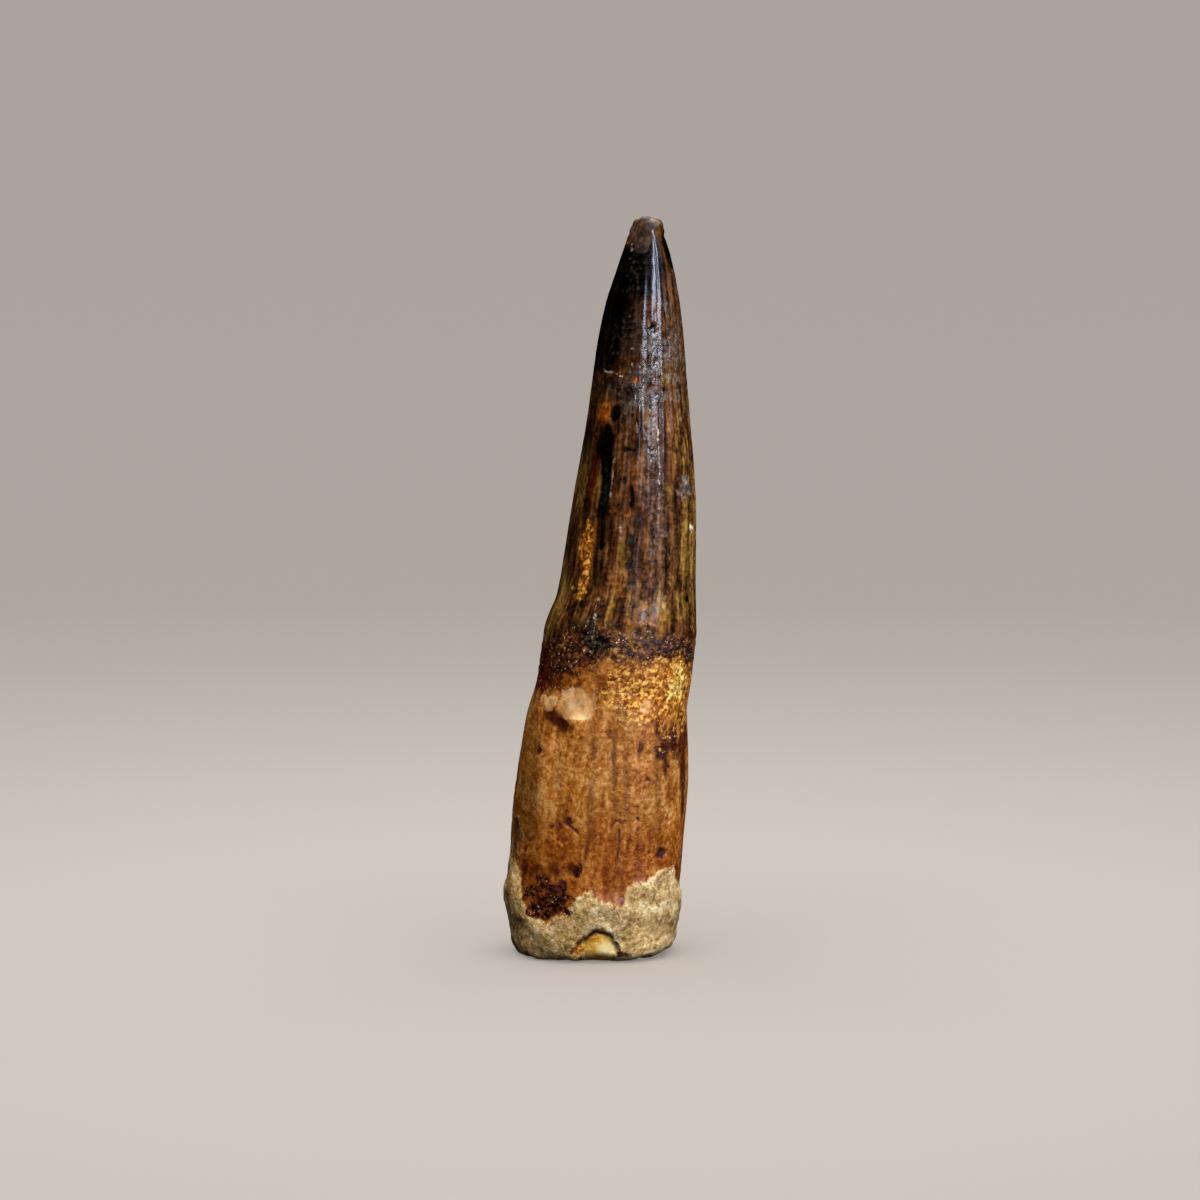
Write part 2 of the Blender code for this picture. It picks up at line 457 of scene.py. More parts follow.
ENAMEL_END = Edge(
    (
        (-9.5, 48.2),
        (-6.5, 48.4),
        (-3.7, 49.6),
        (-0.4, 50.7),
        (1.6, 49.9),
        (6.1, 49.4),
        (10.7, 48.6),
        (13.6, 47.6),
    ),
    0.5,
    2.4,
    3.0,
)
COLLAR_END = Edge(
    (
        (-9.7, 39.8),
        (-6.6, 41.0),
        (-4.0, 42.0),
        (-2.2, 43.0),
        (0.9, 44.6),
        (5.8, 44.4),
        (10.3, 43.6),
        (13.4, 42.6),
    ),
    1.3,
    2.6,
    6.0,
)
CRUST_END = Edge(
    (
        (-13.4, 14.6),
        (-12.0, 13.9),
        (-11.2, 8.5),
        (-9.5, 6.5),
        (-7.7, 5.8),
        (-6.2, 6.8),
        (-4.7, 8.4),
        (-3.2, 10.3),
        (-1.0, 10.8),
        (0.4, 9.6),
        (2.3, 8.8),
        (3.2, 8.5),
        (4.1, 11.7),
        (5.0, 12.4),
        (6.3, 11.8),
        (8.6, 13.3),
        (10.8, 14.2),
        (11.8, 10.4),
    ),
    0.45,
    1.6,
    9.0,
)

# The shown face, in millimetres: the finish, across, height, half width, half height, lean, strength,
# ragged and depth, as Mark names them.
MARKS = (
    Mark(Layer.TIP, 6.5, 109.0, 2.40, 1.80, 0.00, 1.00, 0.25, 0.05),  # worn cap at the tip
    Mark(Layer.TIP, 6.1, 106.3, 1.34, 1.79, 0.00, 1.00, 0.20, 0.10),  # tongue of bare dentine under it
    Mark(Layer.PALE, 4.7, 105.3, 0.24, 0.52, 0.10, 0.38, 0.20, 0.00),  # pale chipped edge of the tongue
    Mark(Layer.PALE, 6.6, 105.4, 0.33, 0.30, 0.00, 0.24, 0.30, 0.00),  # pale fleck on the tongue
    Mark(Layer.JET, 1.8, 95.7, 2.83, 9.82, 0.16, 1.00, 0.25, 0.00),  # black enamel left of the tip, partly painted shade
    Mark(Layer.JET, 5.9, 102.2, 3.57, 5.06, 0.05, 1.00, 0.20, 0.00),  # black enamel round the tip
    Mark(Layer.JET, 10.1, 105.2, 0.75, 3.00, -0.20, 1.00, 0.20, 0.00),  # black edge right of the shine
    Mark(Layer.MAROON, 3.0, 102.2, 0.60, 2.69, 0.40, 0.60, 0.40, 0.00),  # dark red edge under the tip
    Mark(Layer.SOOT, 5.1, 100.4, 0.80, 5.00, 0.06, 0.45, 0.80, 0.00),  # dull streak down the black enamel
    Mark(Layer.SOOT, 4.8, 92.3, 1.77, 3.55, 0.05, 0.50, 0.90, 0.00),  # olive bloom in the black enamel
    Mark(Layer.UMBER, 11.1, 97.5, 1.05, 4.48, -0.12, 0.45, 0.50, 0.00),  # brown enamel at the right
    Mark(Layer.ASH_AND_SHEEN, 11.4, 99.7, 0.45, 3.00, -0.20, 0.50, 0.50, 0.00),  # grey bloom at the right edge
    Mark(Layer.JET, 7.8, 93.3, 0.47, 0.62, 0.00, 1.00, 0.20, 0.28),  # round pit high on the crown
    Mark(Layer.PALE, 8.4, 93.5, 0.24, 0.52, 0.00, 0.38, 0.30, 0.00),  # light rim of the pit
    Mark(Layer.ASH_AND_SHEEN, 8.1, 90.6, 1.77, 1.92, 0.10, 0.95, 0.50, 0.03),  # silvery pitted place, its silver a painted sheen
    Mark(Layer.ASH_AND_SHEEN, 7.0, 86.9, 1.18, 2.66, 0.20, 0.85, 0.60, 0.02),  # its lower end, also painted sheen
    Mark(Layer.ASH_AND_SHEEN, 8.2, 95.7, 1.19, 2.37, 0.00, 0.10, 0.60, 0.00),  # grey bloom above the pit
    Mark(Layer.PALE, 4.8, 90.1, 0.27, 0.33, 0.30, 0.38, 0.30, 0.00),  # light chip
    Mark(Layer.PALE, 4.7, 88.1, 0.19, 0.44, 0.00, 0.34, 0.30, 0.00),  # light chip below it
    Mark(Layer.OLIVE, 9.4, 87.2, 1.48, 2.22, 0.00, 0.80, 0.60, 0.00),  # ochre place right of the shine
    Mark(Layer.RUST, 5.7, 85.8, 0.88, 0.44, 0.00, 0.90, 0.50, 0.02),  # rusty fleck
    Mark(Layer.JET, 9.4, 84.4, 0.24, 0.44, 0.00, 0.80, 0.30, 0.10),  # small ring pit
    Mark(Layer.ASH_AND_SHEEN, 9.5, 83.7, 0.30, 0.52, 0.00, 0.70, 0.30, -0.05),  # its light middle
    Mark(Layer.UMBER, 11.5, 90.1, 0.89, 4.46, -0.05, 0.35, 0.50, 0.00),  # red-brown enamel at the right edge
    Mark(Layer.JET, 0.7, 84.6, 1.78, 2.07, 0.20, 0.55, 0.80, 0.00),  # dark mottled enamel under the crack
    Mark(Layer.SOOT, 1.8, 84.0, 2.60, 2.40, 0.00, 0.60, 0.80, 0.00),  # olive mottling under the crack
    Mark(Layer.RUST, 0.8, 81.0, 1.50, 2.00, 0.10, 0.75, 0.50, 0.00),  # rusty orange spot
    Mark(Layer.JET, 2.3, 80.9, 0.66, 1.18, 0.10, 1.00, 0.15, 0.05),  # black oval beside it
    Mark(Layer.PALE, 3.1, 82.0, 0.32, 0.24, 0.50, 0.34, 0.30, 0.00),  # pale nick over the oval
    Mark(Layer.ASH_AND_SHEEN, 4.5, 82.0, 1.18, 1.47, 0.00, 0.65, 0.60, 0.00),  # grey-olive place
    Mark(Layer.ASH_AND_SHEEN, 7.3, 83.1, 1.03, 2.65, 0.00, 0.80, 0.60, 0.03),  # rough shine down the middle, painted sheen
    Mark(Layer.ASH_AND_SHEEN, 7.5, 78.8, 0.88, 2.06, 0.00, 0.70, 0.50, 0.00),  # its lower end, also painted sheen
    Mark(Layer.UMBER, 10.6, 81.1, 1.33, 3.25, 0.00, 0.70, 0.60, 0.00),  # brown enamel right of the shine
    Mark(Layer.OLIVE, 11.9, 78.4, 0.89, 5.04, 0.00, 0.60, 0.60, 0.00),  # tan edge at the right
    Mark(Layer.JET, -2.1, 77.4, 1.49, 4.18, 0.15, 0.60, 0.70, 0.00),  # dark left shoulder, partly painted shade
    Mark(Layer.JET, 0.4, 77.0, 0.89, 2.95, 0.10, 0.80, 0.40, 0.00),  # dark head of the split
    Mark(Layer.OLIVE, -2.5, 71.3, 0.89, 5.05, 0.14, 0.75, 0.60, 0.00),  # ochre flute at the left
    Mark(Layer.MAROON, -1.0, 71.4, 0.44, 5.02, 0.14, 0.90, 0.40, 0.03),  # dark red hollow beside it
    Mark(Layer.OLIVE, 0.0, 70.8, 0.59, 3.54, 0.12, 0.75, 0.60, 0.00),  # ochre flute beside the split
    Mark(Layer.JET, 4.0, 75.6, 1.47, 0.47, 0.00, 0.95, 0.40, 0.04),  # black smudge across the flutes
    Mark(Layer.UMBER, 3.8, 72.9, 1.76, 2.20, 0.00, 0.90, 0.50, 0.00),  # brown enamel under the smudge
    Mark(Layer.JET, 4.7, 69.2, 0.35, 1.91, -0.10, 0.80, 0.50, 0.06),  # row of black dots
    Mark(Layer.JET, 2.8, 70.2, 0.23, 1.17, 0.20, 0.60, 0.50, 0.04),  # short dark hollow
    Mark(Layer.RUST, 3.8, 66.4, 0.88, 0.53, 0.00, 1.00, 0.50, 0.00),  # rusty place over the pit
    Mark(Layer.RUST, 1.9, 66.5, 0.66, 0.59, 0.00, 0.70, 0.50, 0.00),  # its left part
    Mark(Layer.JET, 5.4, 64.7, 1.03, 1.61, 0.00, 0.55, 0.70, 0.12),  # rough pit on the crown's middle
    Mark(Layer.ASH_AND_SHEEN, 5.6, 64.9, 0.35, 0.66, 0.00, 0.50, 0.50, -0.06),  # light core of the pit
    Mark(Layer.SOOT, 4.7, 59.6, 1.02, 4.68, 0.05, 0.75, 0.70, 0.03),  # dark grainy flute under the pit
    Mark(Layer.PALE, 3.0, 63.5, 0.21, 1.03, 0.00, 0.34, 0.40, 0.00),  # bright sliver
    Mark(Layer.OLIVE, 3.2, 60.1, 0.59, 2.63, 0.03, 0.80, 0.50, 0.00),  # yellow-olive flute
    Mark(Layer.UMBER, 1.6, 56.6, 1.46, 5.27, 0.03, 0.70, 0.60, 0.00),  # brown flutes beside the flake
    Mark(Layer.AMBER, -1.6, 64.7, 0.50, 1.03, 0.10, 0.80, 0.30, 0.05),  # upper end of the golden flake
    Mark(Layer.AMBER, -1.9, 61.2, 0.85, 3.53, 0.12, 1.00, 0.30, 0.10),  # golden flake where enamel is lost
    Mark(Layer.AMBER, -2.6, 56.5, 0.88, 3.23, 0.12, 0.50, 1.10, 0.05),  # speckled lower end of the flake
    Mark(Layer.RUST, -1.5, 61.6, 1.18, 4.12, 0.12, 0.55, 0.50, 0.00),  # rusty rim of the flake
    Mark(Layer.JET, -4.3, 61.4, 0.59, 5.93, 0.14, 0.55, 0.70, 0.00),  # dark flute left of the flake
    Mark(Layer.OLIVE, -5.6, 53.8, 1.04, 3.85, 0.20, 0.85, 0.60, 0.00),  # ochre place over the step
    Mark(Layer.OLIVE, -7.1, 50.0, 0.89, 2.66, 0.20, 0.70, 0.60, 0.00),  # ochre flute at the step
    Mark(Layer.OLIVE, -3.1, 51.8, 0.88, 1.32, 0.20, 0.70, 0.60, 0.00),  # ochre fleck over the black
    Mark(Layer.OLIVE, 9.7, 69.0, 0.51, 2.06, 0.00, 0.90, 0.40, 0.00),  # tan flute
    Mark(Layer.MAROON, 9.5, 72.5, 0.29, 1.32, 0.00, 0.80, 0.30, 0.03),  # dark streak beside the shine
    Mark(Layer.ASH_AND_SHEEN, 12.5, 70.0, 0.89, 2.07, -0.05, 0.85, 0.50, 0.00),  # pale grey-green painted sheen
    Mark(Layer.OLIVE, 12.4, 62.2, 1.18, 6.20, 0.00, 0.75, 0.50, 0.00),  # olive right side
    Mark(Layer.ASH_AND_SHEEN, 8.3, 63.9, 1.47, 7.33, 0.00, 0.30, 0.90, 0.00),  # grey-violet painted sheen
    Mark(Layer.ASH_AND_SHEEN, 7.6, 60.7, 0.38, 0.88, 0.10, 0.60, 0.30, 0.00),  # pale lens
    Mark(Layer.PALE, 13.5, 63.9, 0.24, 0.74, 0.00, 0.43, 0.30, 0.00),  # light chip at the right edge
    Mark(Layer.PALE, 8.9, 57.5, 0.35, 0.23, 0.00, 0.34, 0.40, 0.00),  # light fleck
    Mark(Layer.CREAM, 9.5, 53.2, 0.56, 1.61, 0.00, 0.35, 0.40, 0.00),  # pale lens low on the crown
    Mark(Layer.AMBER, 6.6, 51.3, 0.41, 1.90, 0.00, 0.30, 0.50, 0.00),  # tan stripe at the enamel's end
    Mark(Layer.JET, 12.8, 53.5, 0.32, 0.59, 0.00, 0.80, 0.30, 0.08),  # dark pit at the right edge
    Mark(Layer.UMBER, 5.8, 54.5, 3.22, 3.80, 0.00, 0.55, 0.60, 0.00),  # brown enamel above the collar
    Mark(Layer.SOOT, -0.6, 48.4, 2.04, 2.48, 0.20, 0.90, 1.20, 0.03),  # black end of the enamel
    Mark(Layer.JET, -3.2, 49.6, 1.46, 1.46, 0.20, 0.60, 0.60, 0.00),  # black beside it
    Mark(Layer.MAROON, -8.3, 42.4, 1.47, 3.60, 0.10, 1.00, 0.35, 0.00),  # dark red lobe at the left
    Mark(Layer.RUST, -4.7, 41.4, 2.34, 1.32, 0.20, 0.85, 0.70, 0.00),  # rusty fringe of the collar
    Mark(Layer.RUST, -2.2, 43.8, 1.46, 1.75, 0.20, 0.60, 0.80, 0.00),  # rust in the collar
    Mark(Layer.GOLD, 7.6, 40.4, 6.40, 4.20, 0.00, 1.00, 0.45, 0.04),  # golden grainy dentine
    Mark(Layer.GOLD, 4.4, 44.2, 3.80, 2.00, 0.00, 0.45, 1.00, 0.02),  # gold grains in the collar
    Mark(Layer.YELLOW, 11.2, 40.9, 1.32, 2.06, 0.20, 1.00, 0.50, 0.00),  # yellow patch
    Mark(Layer.CREAM, 7.0, 38.2, 0.88, 1.17, 0.20, 0.90, 0.60, 0.00),  # whitish place
    Mark(Layer.GOLD, 1.5, 38.9, 1.75, 1.16, 0.00, 0.55, 0.60, 0.00),  # tan dentine beside the cream patch
    Mark(Layer.CREAM, -3.2, 38.6, 2.75, 2.35, 0.00, 1.00, 0.22, 0.06),  # cream patch
    Mark(Layer.CREAM, -4.0, 37.3, 1.90, 1.30, -0.30, 1.00, 0.25, 0.05),  # its lower left
    Mark(Layer.CREAM, -7.4, 38.6, 1.47, 1.03, 0.20, 0.75, 0.50, 0.00),  # small cream place
    Mark(Layer.MAROON, -5.9, 35.7, 1.50, 1.60, -0.50, 0.80, 0.60, 0.05),  # painted shade in a shallow dark brown hollow
    Mark(Layer.MAROON, 10.3, 32.7, 2.60, 3.00, 0.00, 0.80, 1.30, 0.00),  # red-brown speckling
    Mark(Layer.MAROON, 5.0, 35.1, 0.87, 1.02, 0.00, 0.35, 0.70, 0.00),  # red-brown fleck
    Mark(Layer.MAROON, 0.1, 36.6, 0.87, 1.16, 0.00, 0.45, 0.80, 0.00),  # brown fleck under the cream patch
    Mark(Layer.PITCH, -9.0, 31.3, 0.32, 0.50, 0.30, 1.00, 0.20, 0.22),  # pit at the root's upper left
    Mark(Layer.PITCH, 7.0, 27.5, 0.47, 0.32, -0.60, 0.90, 0.40, 0.14),  # pit on the root
    Mark(Layer.PITCH, 6.9, 27.9, 0.23, 0.29, 0.00, 0.60, 0.40, 0.08),  # its upper end
    Mark(Layer.PITCH, 5.6, 21.6, 0.32, 0.32, 0.00, 0.90, 0.20, 0.16),  # small ring hole
    Mark(Layer.PALE, 5.4, 21.5, 0.15, 0.15, 0.00, 0.72, 0.20, 0.00),  # light grain in it
    Mark(Layer.PITCH, 5.6, 20.0, 0.23, 0.29, 0.00, 0.80, 0.40, 0.10),  # hole below it
    Mark(Layer.PITCH, -7.2, 20.4, 0.38, 0.50, 0.00, 0.80, 0.40, 0.12),  # etched dot
    Mark(Layer.PITCH, -7.8, 18.3, 0.32, 0.38, 0.00, 0.60, 0.50, 0.08),  # etched dot below it
    Mark(Layer.PITCH, -3.4, 19.8, 0.44, 0.52, -0.50, 0.80, 0.50, 0.12),  # lower end of the etched crack
    Mark(Layer.PITCH, -4.7, 21.2, 0.58, 0.44, 0.00, 0.85, 0.50, 0.14),  # middle of the etched crack
    Mark(Layer.PITCH, 9.0, 16.0, 0.62, 0.53, 0.30, 1.00, 0.60, 0.25),  # black star-shaped pit
    Mark(Layer.PITCH, 7.7, 14.7, 0.32, 0.29, 0.50, 0.70, 0.50, 0.08),  # pit under it
    Mark(Layer.PITCH, 8.1, 33.9, 0.26, 0.38, 0.00, 0.60, 0.40, 0.06),  # small pit
    Mark(Layer.CREAM, 6.7, 23.9, 1.31, 2.19, 0.10, 0.40, 0.70, 0.00),  # pale place on the root's right
    Mark(Layer.CREAM, 9.9, 22.4, 0.73, 1.76, 0.00, 0.40, 0.60, 0.00),  # pale strip beside it
    Mark(Layer.CREAM, -4.0, 29.6, 1.75, 2.33, 0.10, 0.30, 0.80, 0.00),  # pale place on the root's upper left
    Mark(Layer.CREAM, -7.8, 32.2, 1.17, 0.88, 0.00, 0.35, 0.70, 0.00),  # pale place under the dark hollow
    Mark(Layer.MAROON, -5.9, 31.4, 0.29, 2.04, 0.00, 0.44, 0.60, 0.00),  # brown streak
    Mark(Layer.MAROON, -0.9, 32.2, 0.35, 1.75, 0.00, 0.44, 0.60, 0.00),  # brown streak
    Mark(Layer.MAROON, 2.0, 30.1, 0.32, 3.20, 0.00, 0.49, 0.60, 0.02),  # brown streak
    Mark(Layer.MAROON, 3.8, 27.2, 0.73, 2.04, -0.10, 0.25, 0.80, 0.00),  # brown cloud
    Mark(Layer.MAROON, -1.8, 24.0, 0.35, 1.74, 0.10, 0.39, 0.60, 0.00),  # brown streak
    Mark(Layer.MAROON, -1.9, 17.3, 0.44, 1.60, 0.20, 0.70, 0.50, 0.04),  # brown hollow
    Mark(Layer.MAROON, -12.3, 19.1, 0.59, 2.95, 0.00, 0.70, 0.80, 0.03),  # dark mottled left edge
    Mark(Layer.OLIVE, -10.9, 25.3, 0.88, 5.88, 0.10, 0.40, 0.70, 0.00),  # olive tinge down the left edge
    Mark(Layer.RUST, -6.5, 16.3, 2.91, 2.62, 0.00, 0.50, 0.70, 0.00),  # rusty brown over the stain
    Mark(Layer.RUST, 1.5, 12.7, 2.33, 3.20, 0.00, 0.55, 0.60, 0.00),  # rusty brown over the crust
    Mark(Layer.MAROON, -8.1, 14.2, 3.50, 1.17, 0.00, 0.68, 0.80, 0.00),  # dark fringe of the stain
    Mark(Layer.RUST, 7.1, 14.5, 2.04, 1.31, 0.00, 0.45, 0.70, 0.00),  # orange brown at the lower right
    Mark(Layer.MAROON, 12.3, 28.1, 0.44, 5.90, 0.00, 0.75, 0.60, 0.00),  # brown right edge
    Mark(Layer.STAIN, -7.8, 9.4, 3.21, 3.36, 0.05, 1.00, 0.35, 0.00),  # bare dark red stain in the crust
    Mark(Layer.PITCH, -6.9, 11.3, 1.31, 1.31, 0.20, 0.60, 0.90, 0.00),  # black in the stain
    Mark(Layer.PITCH, -9.3, 11.1, 0.58, 0.88, 0.20, 0.50, 0.90, 0.00),  # black in the stain's left
    Mark(Layer.STAIN, -3.2, 13.7, 0.58, 1.02, 0.20, 0.90, 0.60, 0.03),  # small dark spot beside it
    Mark(Layer.RUST, 3.1, 9.3, 0.73, 1.16, 0.00, 0.70, 0.40, 0.00),  # salmon tongue of root
    Mark(Layer.CREAM, 0.9, 8.8, 0.87, 1.16, 0.00, 0.35, 0.60, 0.00),  # pale crust
    Mark(Layer.CHIP, -0.05, 2.2, 2.35, 2.15, 0.10, 1.00, 0.20, 0.00),  # golden broken face
    Mark(Layer.STAIN, -3.2, 2.9, 0.60, 0.40, 0.00, 0.90, 0.60, 0.00),  # brown at its left
    Mark(Layer.STAIN, 3.5, 1.4, 0.90, 0.45, 0.00, 0.70, 0.60, 0.00),  # red-brown foot beside it
    Mark(Layer.RUST, 11.5, 12.6, 0.50, 1.48, 0.00, 0.80, 0.30, 0.00),  # brown strip at the right edge
    Mark(Layer.ASH_AND_SHEEN, -8.9, 3.0, 3.22, 1.76, 0.00, 0.45, 0.80, 0.00),  # grey lower left of the crust
    Mark(Layer.JET, -12.7, 1.3, 0.74, 1.33, -0.40, 0.50, 0.50, 0.00),  # dark corner
    Mark(Layer.OLIVE, -13.5, 10.1, 0.59, 3.54, 0.00, 0.55, 0.70, 0.00),  # greenish left edge of the crust
    Mark(Layer.RUST, 9.7, 4.3, 1.18, 2.06, 0.50, 0.40, 0.70, 0.00),  # orange tinge at the right corner
    Mark(Layer.STAIN_AND_SHADE, 11.4, 97.0, 1.30, 7.00, -0.15, 0.45, 0.50, 0.00),  # painted shade on the right side under the tip
    Mark(Layer.STAIN_AND_SHADE, 3.2, 94.0, 2.60, 10.00, 0.14, 0.55, 0.60, 0.00),  # smoky enamel beside the black
    Mark(Layer.BLEACH_AND_LIGHT, 12.6, 70.0, 1.60, 18.00, -0.02, 0.95, 0.50, 0.00),  # painted light: paler lit right edge of the crown
    Mark(Layer.STAIN_AND_SHADE, -11.6, 28.0, 1.10, 12.00, 0.14, 0.35, 0.60, 0.00),  # painted shade on the root's left edge
    Mark(Layer.ASH_AND_SHEEN, 6.4, 85.6, 1.30, 4.20, 0.10, 0.90, 0.80, 0.02),  # painted sheen on the pitted enamel left of the middle
    Mark(Layer.ASH_AND_SHEEN, 7.6, 75.2, 0.90, 3.60, 0.00, 0.80, 0.60, 0.00),  # painted silvery sheen in the hollow between two ridges
    Mark(Layer.UMBER, 3.9, 66.0, 3.00, 9.00, 0.05, 0.75, 0.90, 0.00),  # mauve-brown middle of the crown
    Mark(Layer.RUST, 3.4, 56.2, 1.60, 2.20, 0.00, 0.45, 0.90, 0.00),  # orange-brown flutes low on the crown
    Mark(Layer.OLIVE, 7.2, 51.8, 0.60, 1.90, 0.00, 0.80, 0.50, 0.00),  # tan flute at the enamel's end
    Mark(Layer.STAIN_AND_SHADE, 12.0, 93.0, 1.20, 8.00, -0.10, 0.40, 0.50, 0.00),  # painted shade on the right edge high on the crown
    Mark(Layer.BLEACH_AND_LIGHT, 13.2, 52.0, 1.30, 7.00, 0.00, 0.90, 0.60, 0.00),  # painted light: paler lit right edge over the collar
    Mark(Layer.STAIN_AND_SHADE, 0.4, 69.5, 2.40, 4.20, 0.10, 0.40, 0.90, 0.00),  # smoky enamel round the split
    Mark(Layer.JET, 3.6, 71.2, 0.32, 0.70, 0.10, 0.80, 0.60, 0.07),  # black dot
    Mark(Layer.JET, 4.6, 67.5, 0.42, 0.70, 0.00, 0.90, 0.60, 0.08),  # larger black dot
    Mark(Layer.JET, 2.4, 72.6, 0.25, 0.60, 0.10, 0.60, 0.60, 0.05),  # black dot beside the split
    Mark(Layer.STAIN_AND_SHADE, -5.0, 44.6, 5.00, 3.00, 0.10, 0.40, 0.90, 0.00),  # darker left half of the collar
    Mark(Layer.STAIN_AND_SHADE, 9.0, 45.8, 6.00, 1.80, 0.00, 0.40, 0.90, 0.00),  # darker right half of the collar
    Mark(Layer.COLLAR, -4.6, 42.6, 3.80, 1.80, 0.10, 0.80, 1.20, 0.00),  # grains down over the fringe
    Mark(Layer.BLEACH_AND_LIGHT, 6.4, 38.8, 1.70, 1.70, 0.20, 0.75, 0.90, 0.00),  # brightest dentine
    Mark(Layer.MAROON, 4.9, 40.4, 0.42, 0.42, 0.00, 1.00, 0.50, 0.15),  # round hole in the gold
    Mark(Layer.MAROON, 6.2, 38.0, 0.36, 0.36, 0.00, 1.00, 0.50, 0.15),  # hole under it
    Mark(Layer.MAROON, 5.7, 41.9, 0.40, 0.30, 0.00, 0.90, 0.60, 0.10),  # hole over it
    Mark(Layer.MAROON, 9.3, 41.3, 0.50, 1.20, 0.20, 0.70, 0.90, 0.05),  # brown grains in the gold
    Mark(Layer.MAROON, 8.1, 39.4, 0.30, 0.50, 0.20, 0.80, 0.60, 0.08),  # small hole
    Mark(Layer.MAROON, 3.3, 39.0, 0.50, 0.80, 0.00, 0.70, 0.90, 0.05),  # brown grains left of the gold
    Mark(Layer.MAROON, 9.9, 37.4, 0.70, 0.90, 0.00, 0.70, 0.90, 0.05),  # brown grains under the yellow patch
    Mark(Layer.SPARK, 10.6, 33.6, 2.20, 3.00, 0.00, 0.80, 0.60, 0.00),  # painted glints in the red-brown speckling
    Mark(Layer.GOLD, 10.4, 35.2, 2.20, 1.60, 0.00, 0.45, 1.20, 0.00),  # last gold grains over the root
    Mark(Layer.BLEACH_AND_LIGHT, 0.0, 30.0, 12.00, 5.00, 0.00, 0.12, 0.90, 0.00),  # leached upper root
    Mark(Layer.GOLD, -3.2, 2.0, 1.30, 1.10, 0.00, 0.85, 0.60, 0.00),  # orange left end of the broken face, painted shade
    Mark(Layer.OLIVE, 13.1, 62.0, 1.50, 17.00, -0.05, 0.60, 0.70, 0.00),  # tan right edge of the crown
    Mark(Layer.OLIVE, 6.4, 51.6, 6.50, 3.60, 0.00, 0.60, 0.90, 0.00),  # dentine glowing above the collar
    Mark(Layer.RUST, 6.0, 50.6, 5.50, 1.60, 0.00, 0.40, 1.00, 0.00),  # rusty end of the enamel
    Mark(Layer.STAIN_AND_SHADE, 2.4, 66.0, 1.70, 6.50, 0.08, 0.45, 0.80, 0.00),  # smoky enamel right of the split
    Mark(Layer.STAIN_AND_SHADE, 5.0, 66.2, 1.60, 3.60, 0.00, 0.35, 0.80, 0.00),  # smoky enamel round the pit
    Mark(Layer.RUST, 0.4, 41.8, 2.40, 1.80, 0.00, 0.75, 0.90, 0.00),  # rusty dentine under the black spot
    Mark(Layer.STAIN_AND_SHADE, 1.2, 40.6, 2.60, 2.40, 0.00, 0.25, 0.90, 0.00),  # duller dentine by the cream patch
    Mark(Layer.COLLAR, 11.0, 33.4, 2.20, 3.20, 0.10, 0.60, 1.30, 0.00),  # crumbly brown grains at the right
    Mark(Layer.CRUST, -12.6, 18.0, 1.10, 4.00, 0.05, 0.55, 1.00, 0.00),  # thin film of crust up the left edge
    Mark(Layer.CREAM, -6.6, 24.0, 2.00, 4.00, 0.05, 0.25, 0.90, 0.00),  # paler dentine left of the crack
    Mark(Layer.CREAM, 1.0, 24.5, 1.60, 3.00, 0.05, 0.22, 0.90, 0.00),  # paler dentine in the middle
    Mark(Layer.ASH_AND_SHEEN, 7.8, 88.6, 2.70, 6.50, 0.05, 0.60, 0.90, 0.02),  # wide grey painted sheen round the highlight
    Mark(Layer.ASH_AND_SHEEN, 11.0, 91.0, 1.60, 8.00, -0.05, 0.45, 0.90, 0.00),  # grey-brown right side high up
    Mark(Layer.STAIN_AND_SHADE, 11.6, 92.0, 1.20, 9.00, -0.10, 0.25, 0.80, 0.00),  # painted shade on its edge
    Mark(Layer.ASH_AND_SHEEN, 3.6, 83.6, 2.20, 2.60, 0.00, 0.50, 0.90, 0.00),  # grey mottling under the crack
    Mark(Layer.BLEACH_AND_LIGHT, 6.8, 56.8, 4.00, 5.00, 0.00, 0.38, 0.90, 0.00),  # thinner enamel over the collar
    Mark(Layer.STAIN_AND_SHADE, 4.6, 45.4, 5.00, 1.80, 0.00, 0.35, 0.90, 0.00),  # darker middle of the collar
    Mark(Layer.STAIN_AND_SHADE, 5.2, 92.5, 1.80, 6.00, 0.10, 0.35, 0.90, 0.00),  # smoky enamel left of the shine
    Mark(Layer.YELLOW, 1.4, 2.5, 0.70, 1.30, 0.10, 0.50, 0.30, 0.00),  # pale yellow right end of the broken face, painted light
    Mark(Layer.STAIN_AND_SHADE, 10.3, 99.0, 1.70, 6.50, -0.15, 0.40, 0.70, 0.00),  # dark enamel right of the shine
    Mark(Layer.BLEACH_AND_LIGHT, 6.9, 87.0, 1.20, 2.60, 0.10, 0.60, 0.60, 0.00),  # painted highlight brightening the shine
    Mark(Layer.BLEACH_AND_LIGHT, 6.8, 79.4, 1.30, 3.00, 0.00, 0.45, 0.60, 0.00),  # painted highlight brightening the shine below it
    Mark(Layer.STAIN_AND_SHADE, 3.9, 66.0, 2.70, 6.00, 0.05, 0.36, 0.90, 0.00),  # darker middle of the crown
    Mark(Layer.BLEACH_AND_LIGHT, 12.2, 70.8, 1.30, 6.00, 0.00, 0.85, 0.60, 0.00),  # painted light on the lit right side
    Mark(Layer.BLEACH_AND_LIGHT, 12.8, 50.2, 1.50, 4.60, 0.00, 0.90, 0.60, 0.00),  # painted light on the lit right end of the enamel
    Mark(Layer.STAIN_AND_SHADE, 11.4, 91.6, 0.90, 3.00, -0.10, 0.45, 0.60, 0.00),  # painted shade on the right edge
    Mark(Layer.STAIN_AND_SHADE, 6.6, 45.6, 3.60, 1.60, 0.00, 0.40, 0.80, 0.00),  # darker collar under the enamel
    Mark(Layer.STAIN_AND_SHADE, 4.6, 41.6, 5.20, 1.80, 0.00, 0.32, 0.80, 0.00),  # darker gold dentine
